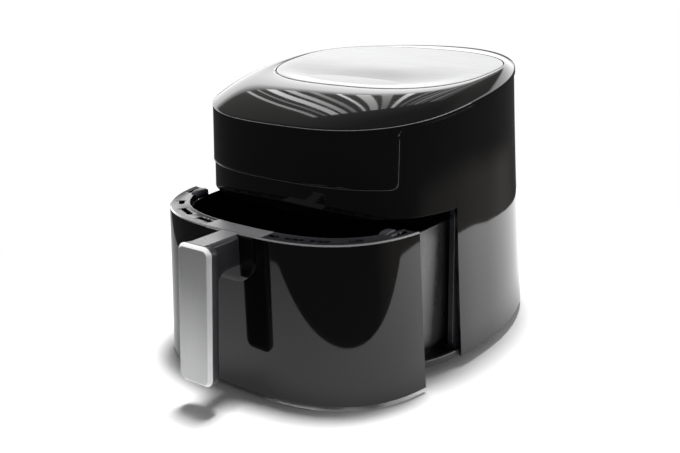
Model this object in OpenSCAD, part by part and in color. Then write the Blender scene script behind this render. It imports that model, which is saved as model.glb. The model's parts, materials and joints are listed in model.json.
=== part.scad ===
// Air fryer with a pull-out drawer. Millimetres, +Z up, the front faces -Y.
// The origin is on the table, under the middle of the whole outline with the drawer a little open.
// Modules are written in body coordinates: X = 0 in the plane of symmetry, Y = 0 at the body's
// widest section, Z = 0 on the table. in_body() and in_drawer() move them to the part's origin.

/* [Body] */
// Width of the body at the bottom edge of its shell
body_w = 300; // [290:1:310]
// Reach of the body ahead of its widest section, at the bottom edge
front_reach = 146.7; // [143:0.1:150]
// Reach of the body behind its widest section, at the bottom edge
back_reach = 215.6; // [212:0.1:220]
// Exponent of the front outline, 2 is an ellipse and more is squarer
front_power = 2.857; // [2.7:0.001:3]
// Exponent of the back outline
back_power = 2.014; // [2:0.001:2.1]
// How much the half width narrows for each millimetre of height
side_taper = 0.063; // [0.055:0.001:0.07]
// The same for the front
front_taper = 0.031; // [0.025:0.001:0.036]
// The same for the back
back_taper = 0.137; // [0.12:0.001:0.145]
// Hollow curve of the sides and back, added back for each squared millimetre of height
waist = 0.00007; // [0.00005:0.00001:0.00008]
// Height of the shell's bottom edge above the table
foot_h = 11; // [10:0.5:12]
// Thickness of the moulded walls
wall = 2.6; // [2.2:0.1:2.8]
// How far the moulded shells stand behind the top cover's face
shell_step = 0.6; // [0.4:0.1:0.8]
// Place of the upright seam between the front and the rear shell
seam_y = -48.8; // [-50:0.1:-48]

/* [Top] */
// Height of the top cover's edge at the very front
rim_front = 238; // [236:0.5:242]
// Rise of that edge towards the back, for each millimetre
rim_slope = 0.1535; // [0.14:0.0005:0.16]
// Flattening of that rise, for each squared millimetre
rim_bend = 0.00013; // [0.0001:0.00001:0.00015]
// Depth of the cover's upright edge
rim_band = 4; // [3.5:0.1:5]
// Height of the panel apron's lower edge
apron_z = 187; // [184:0.5:190]
// Half width of the panel apron
apron_w = 113.7; // [112:0.1:115]
// Half width of the top plate
plate_w = 121.5; // [119:0.1:122]
// Depth of the top plate ahead of its centre
plate_front = 101; // [98:0.5:102]
// Depth of the top plate behind its centre
plate_back = 69; // [66:0.5:70]
// Place of the top plate's centre
plate_y = 49.6; // [48:0.1:51]
// Height of the top plate's face at its centre
plate_z = 272.75; // [272:0.25:274]
// Tilt of the top plate in degrees
plate_tilt = 5.73; // [5.4:0.01:6]
// Fullness of the dome between edge and plate, 1 is a cone
dome_power = 2.1; // [1.8:0.1:2.4]

/* [Drawer] */
// How far the drawer stands out at rest
drawer_out = 64; // [62:0.5:66]
// Height of the drawer front's lower edge
drawer_low = 4.85; // [4:0.05:6]
// Height of the drawer's top edge
drawer_top = 154.1; // [153.5:0.1:154.5]
// Height of the opening's top edge
opening_top = 159.7; // [159.5:0.1:160.5]
// Half width of the drawer opening
opening_w = 131; // [130.6:0.1:131.2]
// Half width of the pan at its top edge
pan_w = 128; // [127.5:0.1:128.5]
// Place of the pan's back wall
pan_back = 118; // [116:0.5:118.5]
// Height of the pan's bottom
pan_low = 18.7; // [18.6:0.1:19]
// Height of the pan's top edge
pan_top = 146; // [145.5:0.1:146.2]
// Thickness of the pan's sheet
pan_t = 1.2; // [1:0.1:1.4]

/* [Handle] */
// Width of the silver plate
grip_w = 39.6; // [38:0.1:41]
// Height of the silver plate
grip_h = 127; // [124:0.5:128]
// Lean of the grip in degrees, its foot further out
grip_lean = 4.3; // [4:0.1:4.6]
// Place of the silver plate's face at its top
grip_y = -188; // [-189:0.5:-187]
// Chamfer of the silver plate
grip_bevel = 3; // [2.5:0.1:3.2]
// Width of the arm
arm_w = 27; // [26:0.5:28]
// Height of the arm
arm_h = 28; // [27:0.5:29]

/* [Oven] */
// Place of the fan's axis
axis_y = 0; // [-2:1:2]
// Radius of the heat shield's bell
bell_r = 105; // [103:1:106]
// Radius of the heating element's tube
tube_r = 3.3; // [3:0.1:3.5]
// Radius of the motor shaft
shaft_r = 3; // [2.8:0.1:3.2]

/* [Hidden] */

$fn = 48;
gap = 0.15;            // half of the seam between two mouldings
cover_out = 0.5;       // the top cover's face stands this far outside the outline
side_y = [-1, 1];      // signs for left and right
step = 5;              // degrees between the points of an outline
outline_at = [for (t = [0 : step : 359]) t];
far = 400;             // longer than the object
deep = 60;             // length of a cutter that has to pass through one wall

// The middle of the rest outline: the plate's foot in front, the shell's bottom edge behind
handle_foot = drawer_out - grip_y + grip_h * sin(grip_lean);
body_y = (handle_foot - back_reach) / 2;

module in_body() {
    translate([0, body_y, 0]) children();
}

module in_drawer() {
    translate([0, body_y - drawer_out, 0]) children();
}

// ---- outline of the body ----

function spow(v, e) = sign(v) * pow(abs(v), e);
function half_w(z) = body_w / 2 - side_taper * (z - foot_h) + waist * pow(z - foot_h, 2);
function front_r(z) = front_reach - front_taper * (z - foot_h);
function back_r(z) = back_reach - back_taper * (z - foot_h) + waist * pow(z - foot_h, 2);

// A point of the outline at angle t and height z, moved inwards by ix sideways and iy lengthways
function edge(t, z, ix, iy) =
    let (ahead = sin(t) < 0)
    let (n = ahead ? front_power : back_power)
    let (b = ahead ? front_r(z) : back_r(z))
    [(half_w(z) - ix) * spow(cos(t), 2 / n), (b - iy) * spow(sin(t), 2 / n)];
function ring(z, inset) = [for (t = outline_at) let (p = edge(t, z, inset, inset)) [p.x, p.y, z]];

// Height of the top cover's edge at y
function rim_z(y) = rim_front + rim_slope * (y + front_reach) - rim_bend * pow(y + front_reach, 2);
function rim_point(t, drop, inset) =
    let (p = edge(t, rim_z(edge(t, rim_front, 0, 0).y), inset, inset))
    [p.x, p.y, rim_z(p.y) - drop];
function rim_ring(drop, inset) = [for (t = outline_at) rim_point(t, drop, inset)];

// Outline of the top plate, grown by g, in its own plane
function plate_point(t, g) =
    let (ahead = sin(t) < 0)
    let (n = ahead ? 2.684 : 2.39)
    let (b = ahead ? plate_front : plate_back)
    [(plate_w + g) * spow(cos(t), 2 / n), (b + g) * spow(sin(t), 2 / n)];
function plate_ring(drop, g) = [for (t = outline_at)
    let (p = plate_point(t, g))
    [p.x, plate_y + p.y * cos(plate_tilt) + drop * sin(plate_tilt),
     plate_z + p.y * sin(plate_tilt) - drop * cos(plate_tilt)]];

// The dome's surface at fraction s of the way from the cover's edge to the plate, dropped by d
function dome_ring(s, drop, inset, g) =
    let (low = rim_ring(0, inset))
    let (high = plate_ring(0, g))
    let (rise = 1 - pow(1 - s, dome_power))
    [for (i = [0 : len(low) - 1])
        [low[i].x * (1 - s) + high[i].x * s, low[i].y * (1 - s) + high[i].y * s,
         low[i].z + (high[i].z - low[i].z) * rise - drop]];

// ---- lofted solids ----

function flat(list) = [for (a = list) for (b = a) b];
function side_faces(rows, n, closed) = [
    for (r = [0 : rows - (closed ? 1 : 2)])
        for (i = [0 : n - 1])
            let (j = (i + 1) % n, u = (r + 1) % rows)
            each [[r * n + i, u * n + i, u * n + j], [r * n + i, u * n + j, r * n + j]]
];

// A solid through the rings, closed by its first and last ring
module loft(rings) {
    n = len(rings[0]);
    rows = len(rings);
    low = [for (i = [0 : n - 1]) i];
    high = [for (i = [n - 1 : -1 : 0]) (rows - 1) * n + i];
    polyhedron(flat(rings), concat([low, high], side_faces(rows, n, false)), convexity = 6);
}

// A tube wall through the rings, the last ring joined to the first
module band(rings) {
    polyhedron(flat(rings), side_faces(len(rings), len(rings[0]), true), convexity = 6);
}

// The upright wall between z0 and the cover's edge, between two insets
module upright_wall(z0, drop, outer, inner) {
    levels = [z0, z0 + (rim_front - z0) * 0.45, rim_front - 10];
    band(concat(
        [for (z = levels) ring(z, outer)], [rim_ring(drop, outer)],
        [rim_ring(drop, inner)], [for (z = [levels[2], levels[1], levels[0]]) ring(z, inner)]
    ));
}

// Everything below the cover's edge less drop, for x between x0 and x1 and y between y0 and y1
module under_rim(drop, x0, x1, y0, y1) {
    last = 12;
    ys = [for (i = [0 : last]) y0 + (y1 - y0) * i / last];
    top_line = [for (y = ys) [y, rim_z(y) - drop]];
    translate([x0, 0, 0])
        rotate([90, 0, 90])
            linear_extrude(x1 - x0)
                polygon(concat(top_line, [[y1, -1], [y0, -1]]));
}

module ahead_of_seam(by) {
    translate([-far / 2, seam_y + by - far, -1]) cube([far, far, far]);
}

module box(low, high) {
    translate(low) cube(high - low);
}

// A bar with rounded ends, length along X, centred
module slot(length, width, height) {
    r = width / 2;
    flat_l = length - width;
    translate([-flat_l / 2, -r, 0]) cube([flat_l, width, height]);
    for (s = side_y)
        translate([s * flat_l / 2, 0, 0]) cylinder(r = r, h = height);
}

// ---- casing ----

grille_low = [-50, 100, 158];
grille_high = [50, far, 198];
gland_z = 38;
gland_r = 6.5;
gland_lean = 7.6;      // the back wall's lean at the gland
boss_places = [[138.5, -22], [138.5, 42], [62, 176]];
boss_r = 4.6;
boss_top = 34;
screw_r = 1.6;
pin_place = [133.6, 149];  // x and z of the interlock pin
pin_r = 1.6;

// A place on the back wall at the cord gland, Z along its axis, d outside the wall
module at_gland(d) {
    translate([0, back_r(gland_z) - shell_step, gland_z]) rotate([gland_lean - 90, 0, 0])
        translate([0, 0, d]) children();
}

module boss_post(x, y) {
    translate([x, y, foot_h + 2]) cylinder(r = boss_r, h = boss_top - foot_h - 2);
}

// A rib from the boss to the shell's wall
module boss_rib(x, y) {
    long = 14;
    low = lip_top + 0.5;
    translate([x, y, low])
        rotate([0, 0, atan2(y, x) + (y > 100 ? 8 : 0)])
            translate([0, -1, 0]) cube([long, 2, boss_top - low]);
}

module rear_shell() {
    color([0.03, 0.03, 0.035]) in_body() difference() {
        union() {
            difference() {
                upright_wall(foot_h, rim_band + 2 * gap, shell_step, shell_step + wall);
                ahead_of_seam(gap);
            }
            intersection() {
                union() {
                    for (s = side_y)
                        for (b = boss_places) {
                            boss_post(s * b.x, b.y);
                            boss_rib(s * b.x, b.y);
                        }
                }
                loft([ring(foot_h, shell_step + 1), ring(boss_top + 6, shell_step + 1)]);
            }
        }
        for (s = side_y)
            for (b = boss_places)
                translate([s * b.x, b.y, foot_h]) cylinder(r = screw_r, h = 18);
        box(grille_low, grille_high);
        at_gland(-deep / 2) cylinder(r = gland_r + 0.2, h = deep);
        for (x = [-36 : 12 : 36])
            translate([x, 150, 214]) rotate([0, 90, 90]) slot(24, 3.6, deep);
    }
}

module front_hood() {
    inner = shell_step + 2 * wall;
    color([0.02, 0.02, 0.025]) in_body() intersection() {
        difference() {
            upright_wall(opening_top, rim_band + 2 * gap, shell_step, inner);
            difference() {
                box([-apron_w - 0.4, -far, apron_z - 0.4], [apron_w + 0.4, 0, far]);
                loft([ring(apron_z - 1, wall + 0.2), ring(far - 80, wall + 0.2)]);
            }
        }
        ahead_of_seam(-gap);
    }
}

module top_cover() {
    t = wall - 0.3;
    ledge = 9;
    seat = 2.2;
    fractions = [0.08, 0.2, 0.36, 0.55, 0.78];
    color([0.03, 0.03, 0.03]) in_body() difference() {
        band(concat(
            [ring(apron_z, -cover_out), rim_ring(0, -cover_out)],
            [for (s = fractions) dome_ring(s, 0, -cover_out, 0.4)],
            [plate_ring(0, 0.4), plate_ring(seat, 0.4), plate_ring(seat, -ledge), plate_ring(seat + 2, -ledge)],
            [for (i = [4 : -1 : 0]) dome_ring(fractions[i], t + 0.8, t - cover_out, -ledge * 0.4)],
            [rim_ring(2.6, t - cover_out), ring(apron_z, t - cover_out)]
        ));
        under_rim(rim_band, -far / 2, far / 2, -78, far / 2 + 40);
        for (s = side_y)
            under_rim(rim_band, s > 0 ? apron_w : -far / 2, s > 0 ? far / 2 : -apron_w, -far / 2, 0);
    }
}

module top_plate() {
    t = 2;
    color([0.8, 0.81, 0.83]) in_body()
        translate([0, plate_y, plate_z])
            rotate([plate_tilt, 0, 0])
                translate([0, 0, -t]) linear_extrude(t) polygon([for (a = outline_at) plate_point(a, 0)]);
}

foot_places = [[100, -80], [92, 140]];
foot_stud = 2.9;

module foot(x, y) {
    color([0.1, 0.1, 0.1]) in_body() translate([x, y, 0]) {
        cylinder(r1 = 9.5, r2 = 11, h = 3);
        translate([0, 0, 3]) cylinder(r = 11, h = 7);
        translate([0, 0, 10]) cylinder(r = foot_stud, h = 3.2);
    }
}

module foot_front_left() {
    foot(-foot_places[0].x, foot_places[0].y);
}

module foot_front_right() {
    foot(foot_places[0].x, foot_places[0].y);
}

module foot_rear_left() {
    foot(-foot_places[1].x, foot_places[1].y);
}

module foot_rear_right() {
    foot(foot_places[1].x, foot_places[1].y);
}

base_z = 10;
base_t = 2.6;
lip_top = 17.5;

module base_plate() {
    edge_in = shell_step + wall + 1;
    color([0.07, 0.07, 0.075]) in_body() difference() {
        loft([ring(base_z, edge_in), ring(lip_top, edge_in), ring(lip_top, edge_in + 3),
              ring(base_z + base_t, edge_in + 3)]);
        for (s = side_y) {
            for (f = foot_places)
                translate([s * f.x, f.y, base_z - 1]) cylinder(r = foot_stud + 0.1, h = base_t + 2);
            for (b = boss_places) {
                translate([s * b.x, b.y, base_z - 1]) cylinder(r = screw_r + 0.3, h = 12);
                translate([s * b.x, b.y, base_z + base_t + 0.1]) cylinder(r = boss_r + 0.5, h = 12);
            }
        }
        for (y = [20 : 14 : 104])
            translate([0, y, base_z - 1]) slot(70, 3.8, base_t + 2);
    }
}

module base_screws() {
    color([0.6, 0.6, 0.62]) in_body()
        for (s = side_y)
            for (b = boss_places)
                translate([s * b.x, b.y, base_z - 2]) {
                    cylinder(r = 3, h = 2);
                    cylinder(r = screw_r - 0.1, h = 16);
                }
}

frame_front = seam_y + 0.6;
frame_depth = 9;
frame_top = opening_top + 1.2;

module opening_frame() {
    color([0.05, 0.05, 0.055]) in_body() difference() {
        intersection() {
            union() {
                for (s = side_y)
                    box([s > 0 ? opening_w : -far / 2, frame_front, base_z + base_t + 0.2],
                        [s > 0 ? far / 2 : -opening_w, frame_front + frame_depth, frame_top]);
                box([-far / 2, frame_front, frame_top - 1],
                    [far / 2, frame_front + frame_depth, frame_top]);
            }
            loft([ring(base_z, shell_step + wall + 4.8), ring(opening_top + 10, shell_step + wall + 0.3)]);
        }
        for (s = side_y)
            box([s > 0 ? 136 : -137.2, frame_front - 1, base_z],
                [s > 0 ? 137.2 : -136, frame_front + 1, opening_top - 8]);
        translate([pin_place.x, frame_front - 1, pin_place.y])
            rotate([-90, 0, 0]) cylinder(r = pin_r + 0.08, h = frame_depth + 2);
    }
}

module exhaust_grille() {
    shrink = 0.3;
    color([0.04, 0.04, 0.045]) in_body() difference() {
        intersection() {
            band([ring(grille_low.z - 8, shell_step + 0.4), ring(grille_high.z + 8, shell_step + 0.4),
                  ring(grille_high.z + 8, shell_step + wall + 0.6),
                  ring(grille_low.z - 8, shell_step + wall + 0.6)]);
            box(grille_low + [shrink, 0, shrink], grille_high - [shrink, 0, shrink]);
        }
        for (z = [grille_low.z + 6 : 7 : grille_high.z - 5])
            for (x = [-24, 24])
                translate([x, 120, z]) rotate([-90, 0, 0]) slot(40, 3.2, 120);
    }
}

module cord_gland() {
    color([0.06, 0.06, 0.06]) in_body() difference() {
        union() {
            at_gland(-12) cylinder(r = gland_r, h = 14);
            at_gland(0.3) cylinder(r = 9, h = 3);
            at_gland(-11) cylinder(r = 8, h = 5);
        }
        at_gland(-deep / 2) cylinder(r = 3.6, h = deep);
    }
}

// ---- drawer pan and the cavity round it ----

corner_r = 66;         // back corners of the pan
pan_front_in = 20.5;   // the pan's front wall stands this far behind the drawer front's face
side_in = 15;          // the same at the sides
draft = 1.5;           // the pan narrows by this much from top to bottom

// Outline of the pan at height z: the drawer's own curve in front, round corners at the back
function pan_outline(z, inset) =
    let (w = pan_w - inset, b = front_r(z) - pan_front_in - inset, r = corner_r - inset)
    let (cx = pan_w - corner_r, cy = pan_back - corner_r)
    concat(
        [for (t = [180 : 6 : 360]) [w * spow(cos(t), 2 / front_power), b * spow(sin(t), 2 / front_power)]],
        [for (t = [0 : 11.25 : 90]) [cx + r * cos(t), cy + r * sin(t)]],
        [for (t = [90 : 11.25 : 180]) [-cx + r * cos(t), cy + r * sin(t)]]
    );
function pan_ring(z, inset) = [for (p = pan_outline(z, inset)) [p.x, p.y, z]];

// Cavity outline, open to the front
function cavity_outline(grow, front) =
    let (w = pan_w + 2.2 + grow, r = corner_r + 2.2 + grow)
    let (cx = pan_w - corner_r, cy = pan_back - corner_r)
    concat(
        [[-w, front], [w, front]],
        [for (t = [0 : 7.5 : 90]) [cx + r * cos(t), cy + r * sin(t)]],
        [for (t = [90 : 7.5 : 180]) [-cx + r * cos(t), cy + r * sin(t)]]
    );

cavity_low = base_z + base_t + 0.4;
cavity_top = frame_top + 0.1;
cavity_front = frame_front + frame_depth + 0.2;
sheet = 0.8;

module oven_cavity() {
    color([0.6, 0.6, 0.58]) in_body() difference() {
        translate([0, 0, cavity_low])
            linear_extrude(cavity_top - cavity_low) polygon(cavity_outline(sheet, cavity_front));
        translate([0, 0, cavity_low + sheet])
            linear_extrude(cavity_top) polygon(cavity_outline(0, cavity_front - 5));
    }
}

module runner(side) {
    x0 = 111;
    x1 = 119;
    front = -100;
    top = pan_low - 0.3;
    color([0.75, 0.75, 0.75]) in_body() {
        box([min(side * x0, side * x1), front, base_z + base_t + 0.1],
            [max(side * x0, side * x1), cavity_front - 0.3, top]);
        box([min(side * x0, side * x1), cavity_front - 0.3, cavity_low + sheet + 0.1],
            [max(side * x0, side * x1), 60, top]);
    }
}

module runner_left() {
    runner(-1);
}

module runner_right() {
    runner(1);
}

// ---- hot air system ----

bell_low = cavity_top + 0.1;
bell_top = 198;
coil_z = 171;
coil_out = 90;
coil_in = 72;
lead_angle = 330;
lead_bend = 9;         // bend radius of the element's leads

module heat_shield() {
    chamfer = 8;
    inset = shell_step + 2 * wall + 0.4;
    color([0.7, 0.7, 0.68]) in_body() difference() {
        union() {
            translate([0, 0, bell_low]) linear_extrude(sheet) {
                polygon(cavity_outline(sheet, seam_y));
                polygon([for (t = [200 : step : 340]) edge(t, opening_top, inset, inset)]);
            }
            translate([0, axis_y, 0]) rotate_extrude($fn = 96)
                polygon([[bell_r - sheet, bell_low], [bell_r, bell_low], [bell_r, bell_top - chamfer],
                         [bell_r - chamfer, bell_top], [0, bell_top], [0, bell_top - sheet],
                         [bell_r - chamfer - 0.3, bell_top - sheet],
                         [bell_r - sheet, bell_top - chamfer - 0.3]]);
        }
        translate([0, axis_y, bell_low - 1]) cylinder(r = bell_r - sheet, h = sheet + 1.5, $fn = 96);
        translate([0, axis_y, bell_top - 5]) cylinder(r = 7, h = 10);
        for (r = [coil_in, coil_out])
            translate([0, axis_y, 0]) rotate([0, 0, lead_angle]) translate([r, lead_bend, bell_top - 5])
                cylinder(r = tube_r + 0.4, h = 10);
        box([-30, axis_y + 60, 168], [30, axis_y + 130, 188]);
    }
}

// The end of a tube at radius r, bent up out of the coil's plane
module tube_lead(r) {
    translate([r, 0, coil_z + lead_bend])
        rotate([0, 90, 0]) rotate_extrude(angle = 90) translate([lead_bend, 0]) circle(r = tube_r);
    translate([r, lead_bend, coil_z + lead_bend]) cylinder(r = tube_r, h = 30);
    // sleeve over the joint
    translate([r, -2, coil_z]) rotate([-90, 0, 0]) cylinder(r = tube_r + 0.6, h = 4);
}

module heating_element() {
    start = 20;
    mid = (coil_in + coil_out) / 2;
    color([0.25, 0.25, 0.26]) in_body() translate([0, axis_y, 0]) {
        for (r = [coil_in, coil_out])
            translate([0, 0, coil_z]) rotate([0, 0, start])
                rotate_extrude(angle = lead_angle - start, $fn = 96) translate([r, 0]) circle(r = tube_r);
        translate([0, 0, coil_z]) rotate([0, 0, start]) translate([mid, 0, 0])
            rotate([0, 0, 180]) rotate_extrude(angle = 180)
                translate([mid - coil_in, 0]) circle(r = tube_r);
        rotate([0, 0, lead_angle])
            for (r = [coil_in, coil_out])
                tube_lead(r);
    }
}

module element_clips() {
    mid = (coil_in + coil_out) / 2;
    under = coil_z - tube_r - 1.1;
    color([0.6, 0.6, 0.6]) in_body() translate([0, axis_y, 0])
        for (a = [60, 180, 280])
            rotate([0, 0, a]) translate([mid, 0, 0]) {
                translate([-14, -3, under]) cube([28, 6, 1]);
                translate([0, 0, under]) cylinder(r = 2.2, h = bell_top - sheet - under - 0.05);
            }
}

module heater_guard() {
    z = 165;
    wire = 1.2;
    rings = [26, 52, 78, 102];
    color([0.55, 0.55, 0.55]) in_body() translate([0, axis_y, z]) {
        for (r = rings)
            rotate_extrude() translate([r, 0]) circle(r = wire);
        for (a = [0 : 45 : 315])
            rotate([0, 0, a]) rotate([0, 90, 0]) translate([1.4, 0, rings[0] - 0.5])
                cylinder(r = wire, h = rings[3] - rings[0] + 1);
    }
}

duct_low = [-40, axis_y + bell_r + 1, 162];
duct_high = [40, 180, 194];

module exhaust_duct() {
    t = 1.5;
    color([0.5, 0.5, 0.5]) in_body() difference() {
        box(duct_low, duct_high);
        box(duct_low + [t, -1, t], duct_high - [t, -1, t]);
    }
}

fan_z = 179;

module hot_air_fan() {
    blades = 8;
    color([0.72, 0.72, 0.72]) in_body() translate([0, axis_y, fan_z]) difference() {
        union() {
            cylinder(r = 58, h = 1, $fn = 72);
            cylinder(r = 8, h = 10);
            for (i = [0 : blades - 1])
                rotate([0, 0, i * 360 / blades])
                    translate([20, 0, 0.5]) rotate([0, 0, 14]) cube([38, 1.2, 12]);
        }
        translate([0, 0, -1]) cylinder(r = shaft_r, h = 20);
    }
}

module fan_nut() {
    color([0.7, 0.7, 0.72]) in_body() translate([0, axis_y, fan_z - 5.1]) difference() {
        cylinder(r = 6, h = 5, $fn = 6);
        translate([0, 0, -1]) cylinder(r = shaft_r, h = 8);
    }
}

module motor_shaft() {
    color([0.75, 0.75, 0.76]) in_body() translate([0, axis_y, fan_z - 7]) cylinder(r = shaft_r, h = 82);
}

stator_low = 211;
stator_h = 20;
rotor_r = 16.5;

module motor_rotor() {
    color([0.5, 0.5, 0.52]) in_body() translate([0, axis_y, stator_low + 0.5]) difference() {
        cylinder(r = rotor_r, h = stator_h - 1);
        translate([0, 0, -1]) cylinder(r = shaft_r, h = stator_h + 2);
    }
}

module cooling_fan() {
    blades = 7;
    color([0.85, 0.85, 0.82]) in_body() translate([0, axis_y, 241]) difference() {
        union() {
            cylinder(r = 7, h = 11);
            cylinder(r = 40, h = 1.2, $fn = 72);
            for (i = [0 : blades - 1])
                rotate([0, 0, i * 360 / blades]) translate([6, -0.7, 0.5]) cube([34, 1.4, 10]);
        }
        translate([0, 0, -1]) cylinder(r = shaft_r, h = 20);
    }
}

bearing_r = 7;
bearing_run = 0.04;    // radial running clearance of the shaft
bearing_zs = [203, 234];

module bearing(z) {
    color([0.7, 0.55, 0.3]) in_body() translate([0, axis_y, z]) difference() {
        cylinder(r = bearing_r, h = 5);
        translate([0, 0, -1]) cylinder(r = shaft_r + bearing_run, h = 8);
    }
}

module bearing_lower() {
    bearing(bearing_zs[0]);
}

module bearing_upper() {
    bearing(bearing_zs[1]);
}

stator_x = 32;
screw_x = 26;

module motor_stator() {
    color([0.45, 0.46, 0.48]) in_body() difference() {
        box([-stator_x, axis_y - 24, stator_low], [stator_x, axis_y + 44, stator_low + stator_h]);
        translate([0, axis_y, stator_low - 1]) cylinder(r = rotor_r + 0.4, h = stator_h + 2);
        box([-16, axis_y + 22, stator_low - 1], [16, axis_y + 34, stator_low + stator_h + 1]);
        for (s = side_y)
            translate([s * screw_x, axis_y, stator_low - 1]) cylinder(r = 2.1, h = stator_h + 2);
    }
}

module motor_coil() {
    color([0.75, 0.4, 0.2]) in_body() difference() {
        box([-15, axis_y + 22.3, stator_low - 7], [15, axis_y + 56, stator_low + stator_h + 5]);
        box([-16, axis_y + 33.7, stator_low - 0.3], [16, axis_y + 44.3, stator_low + stator_h + 0.3]);
    }
}

module motor_bracket(z, leg_low, leg_high) {
    difference() {
        union() {
            box([-34, axis_y - 12, z], [34, axis_y + 12, z + 1.6]);
            for (s = side_y)
                translate([s * screw_x, axis_y, leg_low]) cylinder(r = 5, h = leg_high - leg_low);
            translate([0, axis_y, z]) cylinder(r = bearing_r + 2, h = 5);
        }
        translate([0, axis_y, z - 1]) cylinder(r = bearing_r, h = 8);
        for (s = side_y)
            translate([s * screw_x, axis_y, z - 20]) cylinder(r = 2.1, h = 40);
    }
}

module motor_bracket_lower() {
    color([0.68, 0.68, 0.7]) in_body() motor_bracket(bearing_zs[0], bell_top + 0.1, stator_low - 0.1);
}

module motor_bracket_upper() {
    color([0.68, 0.68, 0.7]) in_body() motor_bracket(bearing_zs[1], stator_low + stator_h + 0.1, bearing_zs[1] + 1.6);
}

module motor_screws() {
    color([0.6, 0.6, 0.62]) in_body()
        for (s = side_y)
            translate([s * screw_x, axis_y, bell_top + 0.2]) {
                cylinder(r = 2, h = bearing_zs[1] + 1.7 - bell_top);
                translate([0, 0, bearing_zs[1] + 1.7 - bell_top]) cylinder(r = 3.6, h = 2.4);
            }
}

module thermal_fuse() {
    color([0.85, 0.8, 0.7]) in_body() {
        box([-60, axis_y - 40, bell_top + 0.1], [-36, axis_y - 28, bell_top + 1.6]);
        translate([-48, axis_y - 34, bell_top + 1.6]) cylinder(r = 8, h = 9);
    }
}

module temperature_sensor() {
    color([0.8, 0.8, 0.8]) in_body() {
        translate([0, cavity_front + 30, cavity_top - 9]) rotate([-90, 0, 0]) cylinder(r = 2, h = 24);
        box([-6, cavity_front + 24, cavity_top - 12], [6, cavity_front + 30, cavity_top]);
    }
}

// ---- electronics ----

board_y = -118;
board_low = 186;
board_high = 226;
board_t = 1.6;

module control_board() {
    color([0.05, 0.3, 0.15]) in_body() difference() {
        box([-72, board_y, board_low], [72, board_y + board_t, board_high]);
        for (x = [-66, 66])
            for (z = [board_low + 6, board_high - 6])
                translate([x, board_y - 1, z]) rotate([-90, 0, 0]) cylinder(r = 1.7, h = 4);
    }
}

module display_module() {
    color([0.85, 0.85, 0.85]) in_body()
        box([-24, board_y - 8.2, board_high - 24], [24, board_y - 0.1, board_high - 4]);
}

module touch_springs() {
    color([0.8, 0.7, 0.4]) in_body()
        for (x = [-60 : 20 : 60])
            translate([x, board_y - 0.1, board_low + 9]) rotate([90, 0, 0]) difference() {
                cylinder(r = 4, h = 8);
                translate([0, 0, 1]) cylinder(r = 3.2, h = 8);
            }
}

carrier_y = 124.5;
power_y = carrier_y + 6;

module board_carrier() {
    color([0.8, 0.78, 0.7]) in_body() difference() {
        union() {
            box([-52, carrier_y, 62], [52, carrier_y + 2, 142]);
            for (x = [-46, 46])
                for (z = [68, 136])
                    translate([x, carrier_y, z])
                        rotate([-90, 0, 0]) cylinder(r = 3.5, h = power_y - carrier_y - 0.1);
        }
        for (x = [-46, 46])
            for (z = [68, 136])
                translate([x, carrier_y - 1, z]) rotate([-90, 0, 0]) cylinder(r = 1.3, h = 20);
    }
}

module power_board() {
    color([0.1, 0.35, 0.2]) in_body() difference() {
        box([-50, power_y, 64], [50, power_y + board_t, 140]);
        for (x = [-46, 46])
            for (z = [68, 136])
                translate([x, power_y - 1, z]) rotate([-90, 0, 0]) cylinder(r = 1.7, h = 4);
    }
}

// A component with its lower left corner at x and z on the power board
module on_board(x, z, size) {
    box([x, power_y + board_t + 0.1, z], [x + size.x, power_y + board_t + 0.1 + size.y, z + size.z]);
}

module transformer() {
    color([0.85, 0.75, 0.2]) in_body() on_board(-40, 104, [26, 20, 24]);
}

module relay() {
    color([0.1, 0.2, 0.6]) in_body() on_board(8, 108, [19, 16, 16]);
}

module filter_capacitor() {
    color([0.9, 0.75, 0.1]) in_body() on_board(-38, 76, [18, 14, 10]);
}

module terminal_block() {
    color([0.9, 0.9, 0.85]) in_body() difference() {
        on_board(4, 72, [34, 12, 14]);
        for (x = [10, 20, 30])
            translate([x, power_y + 10, 70]) cylinder(r = 2, h = 20);
    }
}

// ---- interlock ----

switch_y = frame_front + frame_depth + 0.4;

module interlock_switch() {
    color([0.12, 0.12, 0.12]) in_body() difference() {
        box([pin_place.x - 2.4, switch_y, pin_place.y - 10],
            [pin_place.x + 3.6, switch_y + 20, pin_place.y + 4]);
        translate([pin_place.x, switch_y - 1, pin_place.y])
            rotate([-90, 0, 0]) cylinder(r = pin_r + 0.08, h = 8);
    }
}

module interlock_pin() {
    color([0.8, 0.1, 0.1]) in_body()
        translate([pin_place.x, frame_front - 1.4, pin_place.y])
            rotate([-90, 0, 0]) cylinder(r = pin_r, h = frame_depth + 4);
}

// ---- drawer ----

screw_zs = [131, 140.5];
rim_low = pan_top + 0.1;

module drawer_front() {
    levels = [drawer_low, 54, 104, drawer_top];
    color([0.03, 0.03, 0.035]) in_drawer() difference() {
        band(concat([for (z = levels) ring(z, shell_step)],
                    [for (i = [3 : -1 : 0]) ring(levels[i], shell_step + wall)]));
        translate([-far / 2, seam_y - gap, -1]) cube([far, far, far]);
        for (z = screw_zs)
            translate([0, -front_reach - 10, z]) rotate([-90, 0, 0]) cylinder(r = 2.7, h = 40);
    }
}

rim_inset = shell_step + wall + 0.2;
left_slots = [[-45, 22], [-79, 24], [-106, 13]];
right_slots = [[40, 11], [60.5, 18], [82.5, 18], [107, 13]];
side_slots = [-124.5, 123.5];

// Middle line of the rim's slots
function slot_line(t) = edge(t, drawer_top, 10, 12);
function slot_angle(x) =
    let (a = half_w(drawer_top) - 10)
    360 - acos(spow(x / a, front_power / 2));
module rim_slot(x, length) {
    t = slot_angle(x);
    p = slot_line(t);
    q = slot_line(t + 1) - slot_line(t - 1);
    translate([p.x, p.y, rim_low + 1.4])
        rotate([0, 0, atan2(q.y, q.x)])
            slot(length, 5.6, 20);
}

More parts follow.
